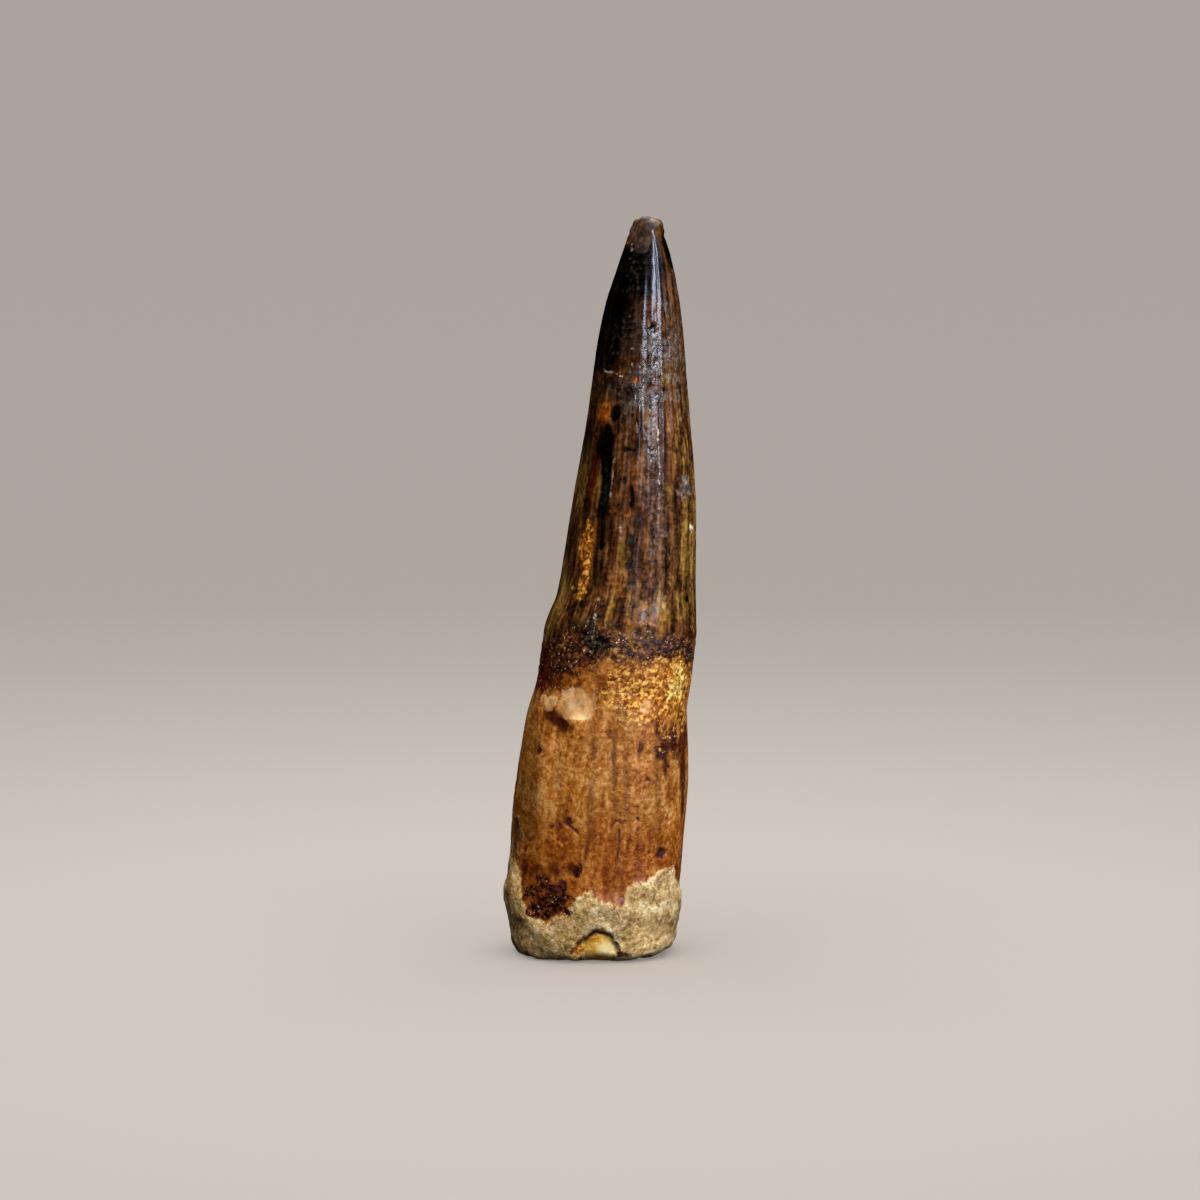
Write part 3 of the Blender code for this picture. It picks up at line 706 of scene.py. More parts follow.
    Mark(Layer.STAIN_AND_SHADE, -5.6, 37.4, 2.00, 1.50, 0.00, 0.42, 0.70, 0.00),  # painted shade under the collar
    Mark(Layer.STAIN_AND_SHADE, 3.4, 37.2, 1.90, 1.50, 0.00, 0.40, 0.70, 0.00),  # painted shade under the gold dentine
    Mark(Layer.STAIN_AND_SHADE, -1.2, 33.2, 1.70, 1.60, 0.00, 0.32, 0.70, 0.00),  # brown spot high on the root
    Mark(Layer.BLEACH_AND_LIGHT, 8.8, 53.8, 1.70, 2.00, 0.00, 0.50, 0.70, 0.00),  # lighter enamel low on the crown
    Mark(Layer.BLEACH_AND_LIGHT, 7.6, 58.0, 3.00, 2.20, 0.00, 0.35, 0.70, 0.00),  # lighter flutes
    Mark(Layer.BLEACH_AND_LIGHT, 10.9, 20.6, 1.70, 2.60, 0.00, 0.60, 0.70, 0.00),  # painted light on the root's lit right side
    Mark(Layer.BLEACH_AND_LIGHT, 6.4, 3.8, 2.30, 1.70, 0.00, 0.50, 0.70, 0.00),  # lighter sand
)

# The far side isn't in the photograph, so its marks are made up, after the shown ones.
FAR_MARKS = (
    Mark(Layer.PITCH, 6.0, 88.0, 0.50, 0.60, 0.00, 0.90, 0.40, 0.20),  # round pit high on the crown
    Mark(Layer.RUST, 3.0, 76.0, 1.20, 2.40, 0.10, 0.70, 0.60, 0.00),  # rusty spot
    Mark(Layer.AMBER, 6.5, 66.0, 0.80, 3.00, 0.10, 0.90, 0.40, 0.08),  # flake where the enamel is lost
    Mark(Layer.PITCH, 1.6, 60.5, 0.60, 0.80, 0.00, 0.80, 0.60, 0.10),  # rough pit low on the crown
    Mark(Layer.OLIVE, 8.0, 56.0, 1.40, 5.00, 0.10, 0.80, 0.60, 0.00),  # ochre place over the collar
    Mark(Layer.CREAM, 4.5, 37.0, 1.70, 1.30, 0.10, 0.80, 0.30, 0.04),  # small cream patch
    Mark(Layer.MAROON, -4.0, 30.0, 0.80, 4.50, 0.10, 0.40, 0.80, 0.02),  # brown streak
    Mark(Layer.PITCH, 0.5, 27.0, 0.50, 0.40, -0.50, 0.90, 0.40, 0.12),  # pit on the root
    Mark(Layer.PITCH, 7.4, 19.0, 0.40, 0.50, 0.20, 0.80, 0.50, 0.12),  # pit over the crust
    Mark(Layer.CREAM, -2.0, 22.0, 1.60, 2.20, 0.00, 0.30, 0.80, 0.00),  # pale place low on the root
    Mark(Layer.STAIN, 5.0, 8.6, 2.40, 2.20, 0.00, 0.90, 0.60, 0.00),  # bare stain in the crust
)

# The finish, the line's places, its width, strength, ragged and depth, as Stroke names them.
STROKES = (
    Stroke(  # dark band along the split
        Layer.JET,
        ((1.1, 78.6), (0.9, 74.0), (0.6, 69.0), (0.2, 66.0)),
        1.50, 0.90, 0.60, 0.03,
    ),
    Stroke(  # its thin lower end
        Layer.JET,
        ((0.2, 66.0), (-0.4, 61.0), (-0.9, 56.0)),
        0.90, 0.60, 0.60, 0.02,
    ),
    Stroke(  # long split down the crown
        Layer.JET,
        ((1.7, 77.6), (1.2, 71.1), (0.6, 65.3), (0.2, 61.2)),
        0.60, 0.90, 0.20, 0.12,
    ),
    Stroke(  # light edge of the split
        Layer.PALE,
        ((2.3, 75.2), (1.8, 71.1), (1.5, 68.8)),
        0.13, 0.36, 0.50, -0.03,
    ),
    Stroke(  # pale crack across the crown
        Layer.PALE,
        ((0.6, 87.1), (1.9, 86.8), (3.2, 86.2)),
        0.17, 0.48, 0.50, -0.02,
    ),
    Stroke(  # its dark lower edge
        Layer.PITCH,
        ((-0.9, 86.7), (0.6, 86.7), (2.1, 86.3), (3.5, 85.7), (4.7, 85.5)),
        0.15, 0.80, 0.60, 0.06,
    ),
    Stroke(  # painted glint along a raised flute ridge
        Layer.PALE,
        ((8.6, 71.2), (8.6, 67.5), (8.5, 63.9)),
        0.12, 0.36, 0.50, -0.04,
    ),
    Stroke(  # painted glint along a sharp raised ridge
        Layer.PALE,
        ((8.4, 78.7), (8.6, 75.5), (8.8, 71.8)),
        0.22, 0.60, 0.30, -0.10,
    ),
    Stroke(Layer.PALE, ((7.5, 76.0), (7.4, 72.6)), 0.32, 0.48, 0.60, -0.06),  # painted glint along a second raised ridge
    Stroke(Layer.PALE, ((5.4, 79.5), (5.4, 77.4)), 0.17, 0.48, 0.50, -0.05),  # painted glint along a short raised ridge
    Stroke(  # broken white edge of the enamel
        Layer.PALE,
        ((0.1, 54.3), (-0.4, 53.1), (-0.8, 52.0), (-0.7, 50.5), (-0.9, 49.4)),
        0.16, 0.32, 0.80, -0.05,
    ),
    Stroke(Layer.PALE, ((-1.3, 53.5), (-1.0, 52.8)), 0.15, 0.25, 0.80, 0.00),  # its left fork
    Stroke(  # etched crack on the root
        Layer.PITCH,
        ((-7.2, 20.4), (-5.7, 20.9), (-4.4, 22.0), (-4.2, 21.3)),
        0.13, 0.90, 0.60, 0.12,
    ),
    Stroke(  # its right branch
        Layer.PITCH,
        ((-5.1, 21.2), (-4.1, 20.4), (-3.2, 19.5)),
        0.17, 0.80, 0.70, 0.12,
    ),
    Stroke(Layer.PITCH, ((1.7, 20.7), (2.3, 21.5), (2.8, 21.5)), 0.17, 0.85, 0.50, 0.10),  # short crack
    Stroke(Layer.PITCH, ((3.0, 21.2), (3.5, 21.1)), 0.17, 0.80, 0.40, 0.10),  # its right end
    Stroke(Layer.PITCH, ((2.8, 20.3), (2.8, 17.4), (2.3, 14.2)), 0.13, 0.75, 0.50, 0.10),  # long fine crack
    Stroke(Layer.PITCH, ((2.8, 17.7), (2.3, 15.6), (2.1, 13.6)), 0.23, 0.50, 0.60, 0.04),  # its wider foot
    Stroke(Layer.PITCH, ((-2.9, 15.6), (-3.1, 13.3)), 0.32, 0.60, 0.60, 0.05),  # dark hollow over the crust
    Stroke(  # arms of the star-shaped pit
        Layer.PITCH,
        ((8.1, 15.7), (9.0, 16.3), (10.2, 16.1)),
        0.19, 0.80, 0.60, 0.12,
    ),
    Stroke(Layer.PITCH, ((9.0, 16.9), (9.2, 15.3)), 0.17, 0.80, 0.60, 0.10),  # its upright arm
    Stroke(  # crack round the right ledge
        Layer.PITCH,
        ((10.7, 13.6), (9.5, 12.7), (8.9, 11.3), (7.8, 9.7), (8.7, 8.2)),
        0.15, 0.60, 0.60, 0.22,
    ),
    Stroke(  # light upper side of the ledge
        Layer.PALE,
        ((10.5, 13.9), (9.2, 12.9), (8.4, 11.3), (7.4, 9.6)),
        0.17, 0.60, 0.70, -0.16,
    ),
    Stroke(  # crack up from the break
        Layer.PITCH,
        ((1.8, 5.4), (2.5, 6.9), (3.1, 8.2)),
        0.12, 0.50, 0.50, 0.08,
    ),
    Stroke(  # long brown streak
        Layer.STAIN_AND_SHADE,
        ((-6.4, 36.0), (-5.9, 31.0), (-6.1, 26.0)),
        0.90, 0.45, 0.80, 0.05,
    ),
    Stroke(  # long brown streak
        Layer.STAIN_AND_SHADE,
        ((-1.2, 36.0), (-0.9, 31.0), (-1.3, 24.0), (-1.8, 18.0)),
        0.90, 0.45, 0.80, 0.05,
    ),
    Stroke(Layer.STAIN_AND_SHADE, ((2.2, 34.0), (2.0, 28.0), (2.5, 22.0)), 0.80, 0.45, 0.80, 0.05),  # long brown streak
    Stroke(Layer.STAIN_AND_SHADE, ((4.2, 35.5), (3.8, 30.0), (4.0, 22.0)), 0.90, 0.40, 0.80, 0.04),  # long brown streak
    Stroke(  # faint streak at the right
        Layer.STAIN_AND_SHADE,
        ((8.3, 30.0), (8.7, 24.0), (8.4, 18.0)),
        0.80, 0.35, 0.80, 0.03,
    ),
    Stroke(  # faint streak at the left
        Layer.STAIN_AND_SHADE,
        ((-9.6, 33.0), (-9.9, 26.0), (-10.3, 18.0)),
        0.90, 0.40, 0.80, 0.03,
    ),
    Stroke(  # light broken edge
        Layer.PALE,
        ((-2.6, 3.9), (-1.9, 5.0), (-0.9, 5.8), (0.4, 5.5), (1.6, 5.2), (2.3, 4.4), (3.0, 3.8)),
        0.18, 0.60, 1.30, -0.14,
    ),
    Stroke(  # dark crevice round the broken face, its own brown with painted shadow
        Layer.STAIN,
        (
            (-3.2, 3.0), (-2.3, 3.6), (-1.4, 4.5), (-0.4, 5.0),
            (0.7, 4.7), (1.7, 4.3), (2.4, 3.3), (2.6, 1.8),
        ),
        0.42, 0.95, 1.50, 0.10,
    ),
    Stroke(  # painted shade in its bottom
        Layer.STAIN_AND_SHADE,
        (
            (-3.2, 3.0), (-2.3, 3.6), (-1.4, 4.5), (-0.4, 4.9),
            (0.7, 4.6), (1.7, 4.2), (2.35, 3.3), (2.5, 1.8),
        ),
        0.30, 0.60, 1.30, 0.10,
    ),
)

FAR_STROKES = (
    Stroke(Layer.JET, ((5.4, 83.0), (4.6, 75.0), (4.0, 67.0), (3.2, 58.0)), 0.60, 0.90, 0.30, 0.12),  # split
    Stroke(  # pale crack across the crown
        Layer.PALE,
        ((8.6, 79.0), (7.2, 78.4), (6.0, 78.8)),
        0.17, 0.45, 0.50, -0.02,
    ),
    Stroke(  # crack
        Layer.PITCH,
        ((-6.0, 26.0), (-4.6, 24.6), (-3.2, 25.2), (-2.0, 23.8)),
        0.15, 0.85, 0.60, 0.12,
    ),
    Stroke(Layer.STAIN_AND_SHADE, ((2.6, 36.0), (2.0, 29.0), (2.4, 20.0)), 0.90, 0.45, 0.80, 0.05),  # long brown streak
    Stroke(  # long brown streak
        Layer.STAIN_AND_SHADE,
        ((-6.6, 36.0), (-7.0, 28.0), (-7.6, 19.0)),
        0.90, 0.45, 0.80, 0.05,
    ),
)


@dataclass
class FaceMap:
    """Where each finish shows, and how deep its marks are sunk.

    Attributes:
        surface: the tooth's skin.
        covers: how far each layer covers each point, from 0 to 1.
        sunk: how deep the marks sink each point, in millimetres.
    """

    surface: Surface
    covers: dict[Layer, Array] = field(default_factory=dict)
    sunk: Array = field(default_factory=lambda: np.zeros(0))

    def paint(self) -> None:
        """Works out every layer's cover."""
        surface = self.surface
        count = len(surface.places)
        self.covers = {layer: np.zeros(count) for layer in Layer}
        self.sunk = np.zeros(count)
        self.covers[Layer.ROOT] += 1.0
        enamel_end = ENAMEL_END.heights(surface)
        collar_end = COLLAR_END.heights(surface)
        crust_end = CRUST_END.heights(surface)
        height = surface.height
        self.covers[Layer.ENAMEL] = smooth_step(-0.9, 0.9, height - enamel_end)
        self.covers[Layer.COLLAR] = smooth_step(-2.0, 2.0, height - collar_end)
        self.covers[Layer.TAWNY] = smooth_step(27.0, 15.0, height + 3.0 * surface.streaks(3.0, 8.0, 24.0))
        self.covers[Layer.CRUST] = smooth_step(-0.7, 0.7, crust_end - height)
        self.paint_far_side()
        rough = 1.5 * surface.grain(1.9, 21.0) + 0.9 * surface.grain(0.8, 22.0)
        drawn_out = surface.streaks(1.0, 4.0, 23.0) + 0.5 * rough
        for items, shown in (
            ((*MARKS, *STROKES), surface.front),
            ((*FAR_MARKS, *FAR_STROKES), 1.0 - surface.front),
        ):
            for item in items:
                breaker = drawn_out if item.layer in STREAKED else rough
                cover = item.cover(surface.across, height, breaker, FADES[item.layer]) * shown
                self.covers[item.layer] = np.maximum(self.covers[item.layer], cover)
                self.sunk += item.depth * cover
        # Painted glints on single crystals of the crumbly collar, the crust, the gold dentine and the stain,
        # none on the broken face.
        crumbly = self.covers[Layer.COLLAR] * (1.0 - self.covers[Layer.ENAMEL])
        unbroken = 1.0 - self.covers[Layer.CHIP]
        sparkling = (Layer.SPARK, Layer.CRUST, Layer.GOLD, Layer.STAIN)
        glints = np.maximum.reduce((crumbly, *(self.covers[layer] for layer in sparkling)))
        self.covers[Layer.SPARK] = unbroken * glints
        lines = smooth_step(0.10, 0.45, surface.streaks(1.1, 20.0, 26.0))
        hairs = smooth_step(0.05, 0.40, surface.streaks(0.5, 12.0, 27.0))
        root = (1.0 - self.covers[Layer.COLLAR]) * (1.0 - self.covers[Layer.CRUST])
        left = smooth_step(-5.0, -11.0, surface.across)
        # Dark streaks down the root, and fine dark hairs towards its left side that paint the shade on that
        # side.
        self.covers[Layer.STAIN_AND_SHADE] += root * (0.08 * lines + 0.26 * left * hairs)
        # The enamel darkens along the valleys between its flutes.
        valleys = smooth_step(0.0, 0.25, np.abs(surface.streaks(0.9, 16.0, 41.0)))
        self.covers[Layer.STAIN_AND_SHADE] += self.covers[Layer.ENAMEL] * (0.04 + 0.30 * valleys * hairs)
        porous = unbroken * (1.0 - self.covers[Layer.ENAMEL])
        self.covers[Layer.PORE] = porous * (0.4 + 0.9 * surface.grain(3.0, 25.0))
        marks, strokes = len(MARKS) + len(FAR_MARKS), len(STROKES) + len(FAR_STROKES)
        LOG.info("painted %d marks and %d strokes", marks, strokes)

    def paint_far_side(self) -> None:
        """Clouds the far side with the same finishes, in natural drifts."""
        surface = self.surface
        back = 1.0 - surface.front
        height = surface.height
        drift = surface.streaks(5.0, 22.0, 31.0)
        patches = surface.grain(4.5, 32.0)
        crown = smooth_step(50.0, 58.0, height)
        upper = smooth_step(70.0, 96.0, height)
        collar = smooth_step(36.0, 40.0, height) * (1.0 - smooth_step(44.0, 48.0, height))
        root = 1.0 - smooth_step(36.0, 42.0, height)
        self.covers[Layer.JET] += back * crown * smooth_step(0.35, 1.1, upper + 0.9 * drift)
        self.covers[Layer.OLIVE] += back * crown * (1.0 - upper) * smooth_step(0.0, 0.5, drift)
        self.covers[Layer.UMBER] += back * crown * smooth_step(0.1, 0.5, patches)
        self.covers[Layer.ASH_AND_SHEEN] += back * crown * 0.6 * smooth_step(0.2, 0.6, -patches)
        self.covers[Layer.GOLD] += back * collar * smooth_step(-0.2, 0.5, patches)
        self.covers[Layer.MAROON] += back * root * 0.7 * smooth_step(0.1, 0.6, drift - 0.3 * patches)
        self.covers[Layer.CREAM] += back * root * 0.5 * smooth_step(0.15, 0.6, patches)
        self.covers[Layer.TIP] += back * smooth_step(106.5, 108.5, height + 0.6 * patches)


@dataclass(frozen=True)
class Relief:
    """How far one kind of surface stands out, in millimetres.

    Attributes:
        lumps: its lumps, about 2 mm across.
        grains: its grains, about 1 mm across.
        fine: its finest grains, about 0.5 mm across.
        lift: how far it stands out as a whole.
    """

    lumps: float = 0.0
    grains: float = 0.0
    fine: float = 0.0
    lift: float = 0.0

    def stands(self, lumps: Array, grains: Array, fine: Array) -> Array:
        """How far each point stands out.

        Args:
            lumps: the lumps' noise.
            grains: the grains' noise.
            fine: the finest grains' noise.

        Returns:
            Millimetres for each point.
        """
        return self.lumps * lumps + self.grains * grains + self.fine * fine + self.lift


@dataclass
class ToothSkin:
    """The whole tooth as one fine mesh laid over the plain solid. Sizes are in millimetres.

    Attributes:
        points_round: points round the tooth.
        foot_rings: rings on the broken underside.
        rim_rings: rings round the foot's edge.
        wall_rings: rings from there to the tip.
        tip_rings: rings over the worn tip.
        rim_height: where the wall starts.
        tip_height: where the tip's dome starts.
        foot_share: how far out the underside's own rings reach, as a share of the tooth's reach.
        lean_height: where the crown starts to lean.
        lean: how far it leans to the right and back for each millimetre above that.
        enamel: the enamel's own relief.
        etched: the etched enamel's.
        crumbs: the crumbling collar's.
        golden: the bare golden dentine's.
        bone: the root's.
        sand: the sandy crust's.
        worn: the worn tip's.
        flutes: the height of the enamel's flutes.
        striae: the height of the lines between them.
        dimples: the depth of the upper crown's dimples.
        waves: the depth of its wider hollows.
        lip: how far the enamel's end stands over the root.
        fibres: the height of the root's fibres.
        swells: the height of its long swells.
        pores: the depth of its pores.
        crust: the thickness of the sandy crust.
        shoulder: how far the worn tip's rim stands out.
    """

    points_round: int = 256
    foot_rings: int = 26
    rim_rings: int = 18
    wall_rings: int = 318
    tip_rings: int = 18
    rim_height: float = 4.0
    tip_height: float = 107.0
    foot_share: float = 0.84
    lean_height: float = 60.0
    lean: Pair = (0.16, 0.05)
    enamel: Relief = Relief(lumps=0.02, fine=0.012)
    etched: Relief = Relief(grains=0.07, fine=0.05)
    crumbs: Relief = Relief(grains=0.11, fine=0.07)
    golden: Relief = Relief(grains=0.04, fine=0.04, lift=-0.03)
    bone: Relief = Relief(fine=0.03)
    sand: Relief = Relief(lumps=0.10, grains=0.06, fine=0.05)
    worn: Relief = Relief(lumps=0.20, grains=0.30, lift=-0.08)
    flutes: float = 0.08
    striae: float = 0.02
    dimples: float = 0.03
    waves: float = 0.06
    lip: float = 0.16
    fibres: float = 0.035
    swells: float = 0.07
    pores: float = 0.07
    crust: float = 0.14
    shoulder: float = 0.42

    @property
    def steps(self) -> int:
        """Steps from the underside's middle to the tip."""
        return self.foot_rings + self.rim_rings + self.wall_rings + self.tip_rings - 1

    def solid_tree(self) -> BVHTree:
        """A smoothed copy of the plain solid, to lay the skin on.

        Returns:
            A tree of its faces, in millimetres.
        """
        copy = bpy.data.meshes.new("tooth_base")
        bm = bmesh.new()
        bm.from_mesh(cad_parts["tooth"].data)
        bmesh.ops.remove_doubles(bm, verts=bm.verts, dist=1e-6)
        bmesh.ops.join_triangles(
            bm,
            faces=bm.faces,
            angle_face_threshold=math.pi,
            angle_shape_threshold=math.pi,
        )
        bmesh.ops.scale(bm, verts=bm.verts, vec=(1.0 / MM,) * 3)
        bm.to_mesh(copy)
        bm.free()
        base = bpy.data.objects.new("tooth_base", copy)
        bpy.context.scene.collection.objects.link(base)
        smooth = base.modifiers.new("smooth", "SUBSURF")
        smooth.levels = 2
        smooth.render_levels = 2
        graph = bpy.context.evaluated_depsgraph_get()
        tree = BVHTree.FromObject(base, graph)
        bpy.data.objects.remove(base, do_unlink=True)
        bpy.data.meshes.remove(copy)
        return tree

    def axis(self, tree: BVHTree, height: float) -> Vector:
        """The middle of the tooth at a height.

        Args:
            tree: the solid's faces.
            height: the height.

        Returns:
            A point inside the tooth.
        """
        middle = Vector((0.5 * (CAD_BOX[0][0] + CAD_BOX[1][0]) / MM, 0.0, height))
        above = max(height - self.lean_height, 0.0)
        middle.x += self.lean[0] * above
        middle.y += self.lean[1] * above
        for _ in range(2):
            for way in (Vector((1.0, 0.0, 0.0)), Vector((0.0, 1.0, 0.0))):
                ahead = tree.ray_cast(middle, way)[0]
                behind = tree.ray_cast(middle, -way)[0]
                middle = 0.5 * (ahead + behind)
        return middle

    def rays(self, tree: BVHTree, angles: list[float]) -> list[list[tuple[Vector, Vector]]]:
        """The rays that find each ring's points, from inside the tooth outwards.

        Args:
            tree: the solid's faces.
            angles: the angles round the tooth.

        Returns:
            For each ring, a start and a direction for each angle.
        """
        ways = [Vector((math.cos(angle), math.sin(angle), 0.0)) for angle in angles]
        up = Vector((0.0, 0.0, 1.0))
        heart = self.axis(tree, self.rim_height)
        reaches = [(tree.ray_cast(heart, way)[0] - heart).length for way in ways]
        rings = []
        for step in range(self.foot_rings):
            share = self.foot_share * step / self.foot_rings
            rings.append([(heart + way * reach * share, -up) for way, reach in zip(ways, reaches)])
        for step in range(self.rim_rings):
            turn = 0.5 * math.pi * (step / self.rim_rings - 1.0)
            slopes = [way * math.cos(turn) + up * math.sin(turn) for way in ways]
            starts = [heart + way * reach * self.foot_share for way, reach in zip(ways, reaches)]
            rings.append(list(zip(starts, slopes)))
        for step in range(self.wall_rings):
            height = self.rim_height + (self.tip_height - self.rim_height) * step / self.wall_rings
            middle = self.axis(tree, height)
            rings.append([(middle, way) for way in ways])
        crest = self.axis(tree, self.tip_height)
        for step in range(self.tip_rings):
            turn = 0.5 * math.pi * step / (self.tip_rings - 1)
            rings.append([(crest, way * math.cos(turn) + up * math.sin(turn)) for way in ways])
        return rings

    def lay(self) -> bmesh.types.BMesh:
        """Lays a ball's rings over the solid, from the middle of the underside to the tip.

        Returns:
            The skin, in millimetres.
        """
        tree = self.solid_tree()
        bm = bmesh.new()
        bmesh.ops.create_uvsphere(bm, u_segments=self.points_round, v_segments=self.steps, radius=1.0)
        angles = [2.0 * math.pi * index / self.points_round for index in range(self.points_round)]
        rings = self.rays(tree, angles)
        angle_layer = bm.verts.layers.float.new("angle")
        for vertex in bm.verts:
            from_foot = math.acos(max(-1.0, min(1.0, -vertex.co.z))) / math.pi
            ring = round(from_foot * self.steps)
            angle = math.atan2(vertex.co.y, vertex.co.x)
            index = round(angle / (2.0 * math.pi) * self.points_round) % self.points_round
            start, way = rings[ring][index]
            vertex.co = tree.ray_cast(start, way)[0]
            vertex[angle_layer] = angles[index]
        bmesh.ops.recalc_face_normals(bm, faces=bm.faces)
        bm.normal_update()
        LOG.info("laid %d rings of %d points", self.steps + 1, self.points_round)
        return bm

    def relief(self, surface: Surface, face: FaceMap) -> Array:
        """The skin's fine relief.

        Args:
            surface: the tooth's skin.
            face: where its finishes show.

        Returns:
            How far each point stands out, in millimetres.
        """
        covers = face.covers
        height = surface.height
        noises = (surface.grain(2.2, 43.0), surface.grain(0.9, 44.0), surface.grain(0.5, 45.0))
        ridges = 0.5 - np.abs(surface.streaks(0.9, 16.0, 41.0)) * 2.0
        fine_ridges = 0.5 - np.abs(surface.streaks(0.45, 9.0, 42.0)) * 2.0
        glassy = covers[Layer.ENAMEL] * (1.0 - covers[Layer.TIP])
        fluted = glassy * smooth_step(50.0, 56.0, height) * (1.0 - smooth_step(84.0, 98.0, height))
        stands = fluted * (self.flutes * ridges + self.striae * fine_ridges)
        stands += glassy * self.enamel.stands(*noises)
        stands += covers[Layer.ASH_AND_SHEEN] * glassy * self.etched.stands(*noises)
        hollows = self.dimples * surface.grain(1.3, 49.0) + self.waves * surface.grain(4.0, 50.0)
        stands += glassy * smooth_step(66.0, 74.0, height) * hollows
        stands += self.lip * covers[Layer.ENAMEL] * (1.0 - smooth_step(50.0, 58.0, height))
        crumbly = np.clip(covers[Layer.COLLAR] * (1.0 - covers[Layer.ENAMEL]), 0.0, 1.0)
        stands += crumbly * self.crumbs.stands(*noises)
        stands += np.maximum(covers[Layer.GOLD], covers[Layer.YELLOW]) * self.golden.stands(*noises)
        bare = (1.0 - covers[Layer.CRUST]) * (1.0 - covers[Layer.ENAMEL]) * (1.0 - crumbly)
        fibrous = self.fibres * surface.streaks(0.8, 7.0, 46.0)
        fibrous += self.swells * surface.streaks(2.6, 24.0, 47.0)
        pitted = self.pores * smooth_step(0.33, 0.5, surface.grain(0.8, 48.0))
        stands += bare * (fibrous + self.bone.stands(*noises) - pitted)
        sandy = covers[Layer.CRUST] * (1.0 - covers[Layer.CHIP])
        stands += self.crust * covers[Layer.CRUST] + sandy * self.sand.stands(*noises)
        stands += smooth_step(106.0, 108.5, height) * self.worn.stands(*noises)
        rim = smooth_step(106.8, 108.6, height) * (1.0 - smooth_step(109.1, 109.9, height))
        stands += self.shoulder * rim
        return stands - face.sunk

    def broken_face(self, surface: Surface, deep: Array, cover: Array) -> Array:
        """The calcite's broken face in the notch at the foot: a smooth, shallow dome.

        Args:
            surface: the tooth's skin.
            deep: how far back each point lies.
            cover: where the calcite shows.

        Returns:
            How far back each point moves, in millimetres.
        """
        domed = 1.0 - ((surface.across + 0.1) / 2.4) ** 2
        wanted = -8.75 - 0.14 * (surface.height - 0.6) - 0.55 * domed
        return smooth_step(0.25, 0.75, cover) * smooth_step(0.4, 1.8, surface.height) * (wanted - deep)

    def build(self) -> bpy.types.Object:
        """Builds the tooth, dressed, in place of the plain solid.

        Returns:
            The tooth's object.
        """
        bm = self.lay()
        bm.verts.ensure_lookup_table()
        angle_layer = bm.verts.layers.float["angle"]
        places = np.array([vertex.co for vertex in bm.verts])
        normals = np.array([vertex.normal for vertex in bm.verts])
        angles = np.array([vertex[angle_layer] for vertex in bm.verts])
        surface = Surface(places, normals, angles)
        face = FaceMap(surface)
        face.paint()
        moved = places + normals * self.relief(surface, face)[:, None]
        moved[:, 1] += self.broken_face(surface, moved[:, 1], face.covers[Layer.CHIP])
        low, high = np.array(CAD_BOX[0]) / MM, np.array(CAD_BOX[1]) / MM
        moved = np.clip(moved, low, high)
        mesh_data = bpy.data.meshes.new("tooth_skin")
        bm.to_mesh(mesh_data)
        bm.free()
        mesh_data.vertices.foreach_set("co", (moved * MM).ravel())
        self.dress(mesh_data, face)
        skin = bpy.data.objects.new("tooth_skin", mesh_data)
        bpy.context.scene.collection.objects.link(skin)
        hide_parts("tooth")
        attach(skin, "root")
        return skin

    def dress(self, mesh_data: bpy.types.Mesh, face: FaceMap) -> None:
        """Writes down where each finish shows, and gives the tooth its material.

        Args:
            mesh_data: the tooth's mesh.
            face: where its finishes show.
        """
        for layer in Layer:
            cover = mesh_data.attributes.new(layer.value, "FLOAT", "POINT")
            cover.data.foreach_set("value", np.clip(face.covers[layer], 0.0, 1.0))
        flow = mesh_data.attributes.new("flow", "FLOAT_VECTOR", "POINT")
        flow.data.foreach_set("vector", face.surface.flow.ravel())
        mesh_data.update()
        mesh_data.shade_smooth()
        mesh_data.materials.append(FossilMaterial().build())


class NodeMaterial:
    """A material that is made node by node."""

    def start(self, name: str) -> bpy.types.Node:
        """Makes the material with nothing on it yet.

        Args:
            name: its name.

        Returns:
            Its shader.
        """
        self.material = bpy.data.materials.new(name)
        self.material.use_nodes = True
        self.nodes = self.material.node_tree.nodes
        self.links = self.material.node_tree.links
        return self.nodes["Principled BSDF"]

    def node(self, kind: str, inputs: dict[str | int, object], **settings: object) -> bpy.types.Node:
        """Adds a node with its settings and links.

        Args:
            kind: the node's type.
            inputs: what goes into each socket, as another node's output or a plain value.
            settings: the node's own settings.

        Returns:
            The new node.
        """
        made = self.nodes.new(kind)
        for name, value in settings.items():
            setattr(made, name, value)
        for socket, value in inputs.items():
            if isinstance(value, bpy.types.NodeSocket):
                self.links.new(value, made.inputs[socket])
            else:
                made.inputs[socket].default_value = value
        return made


# How strongly each finish is roughened, where it isn't the root's usual amount.
BUMPS = (
    (Layer.COLLAR, 0.9),
    (Layer.ENAMEL, 0.22),
    (Layer.CRUST, 0.6),
    (Layer.JET, 0.03),
    (Layer.ASH_AND_SHEEN, 0.7),
    (Layer.GOLD, 0.5),
    (Layer.AMBER, 0.3),
    (Layer.CREAM, 0.15),
    (Layer.CHIP, 0.05),
)


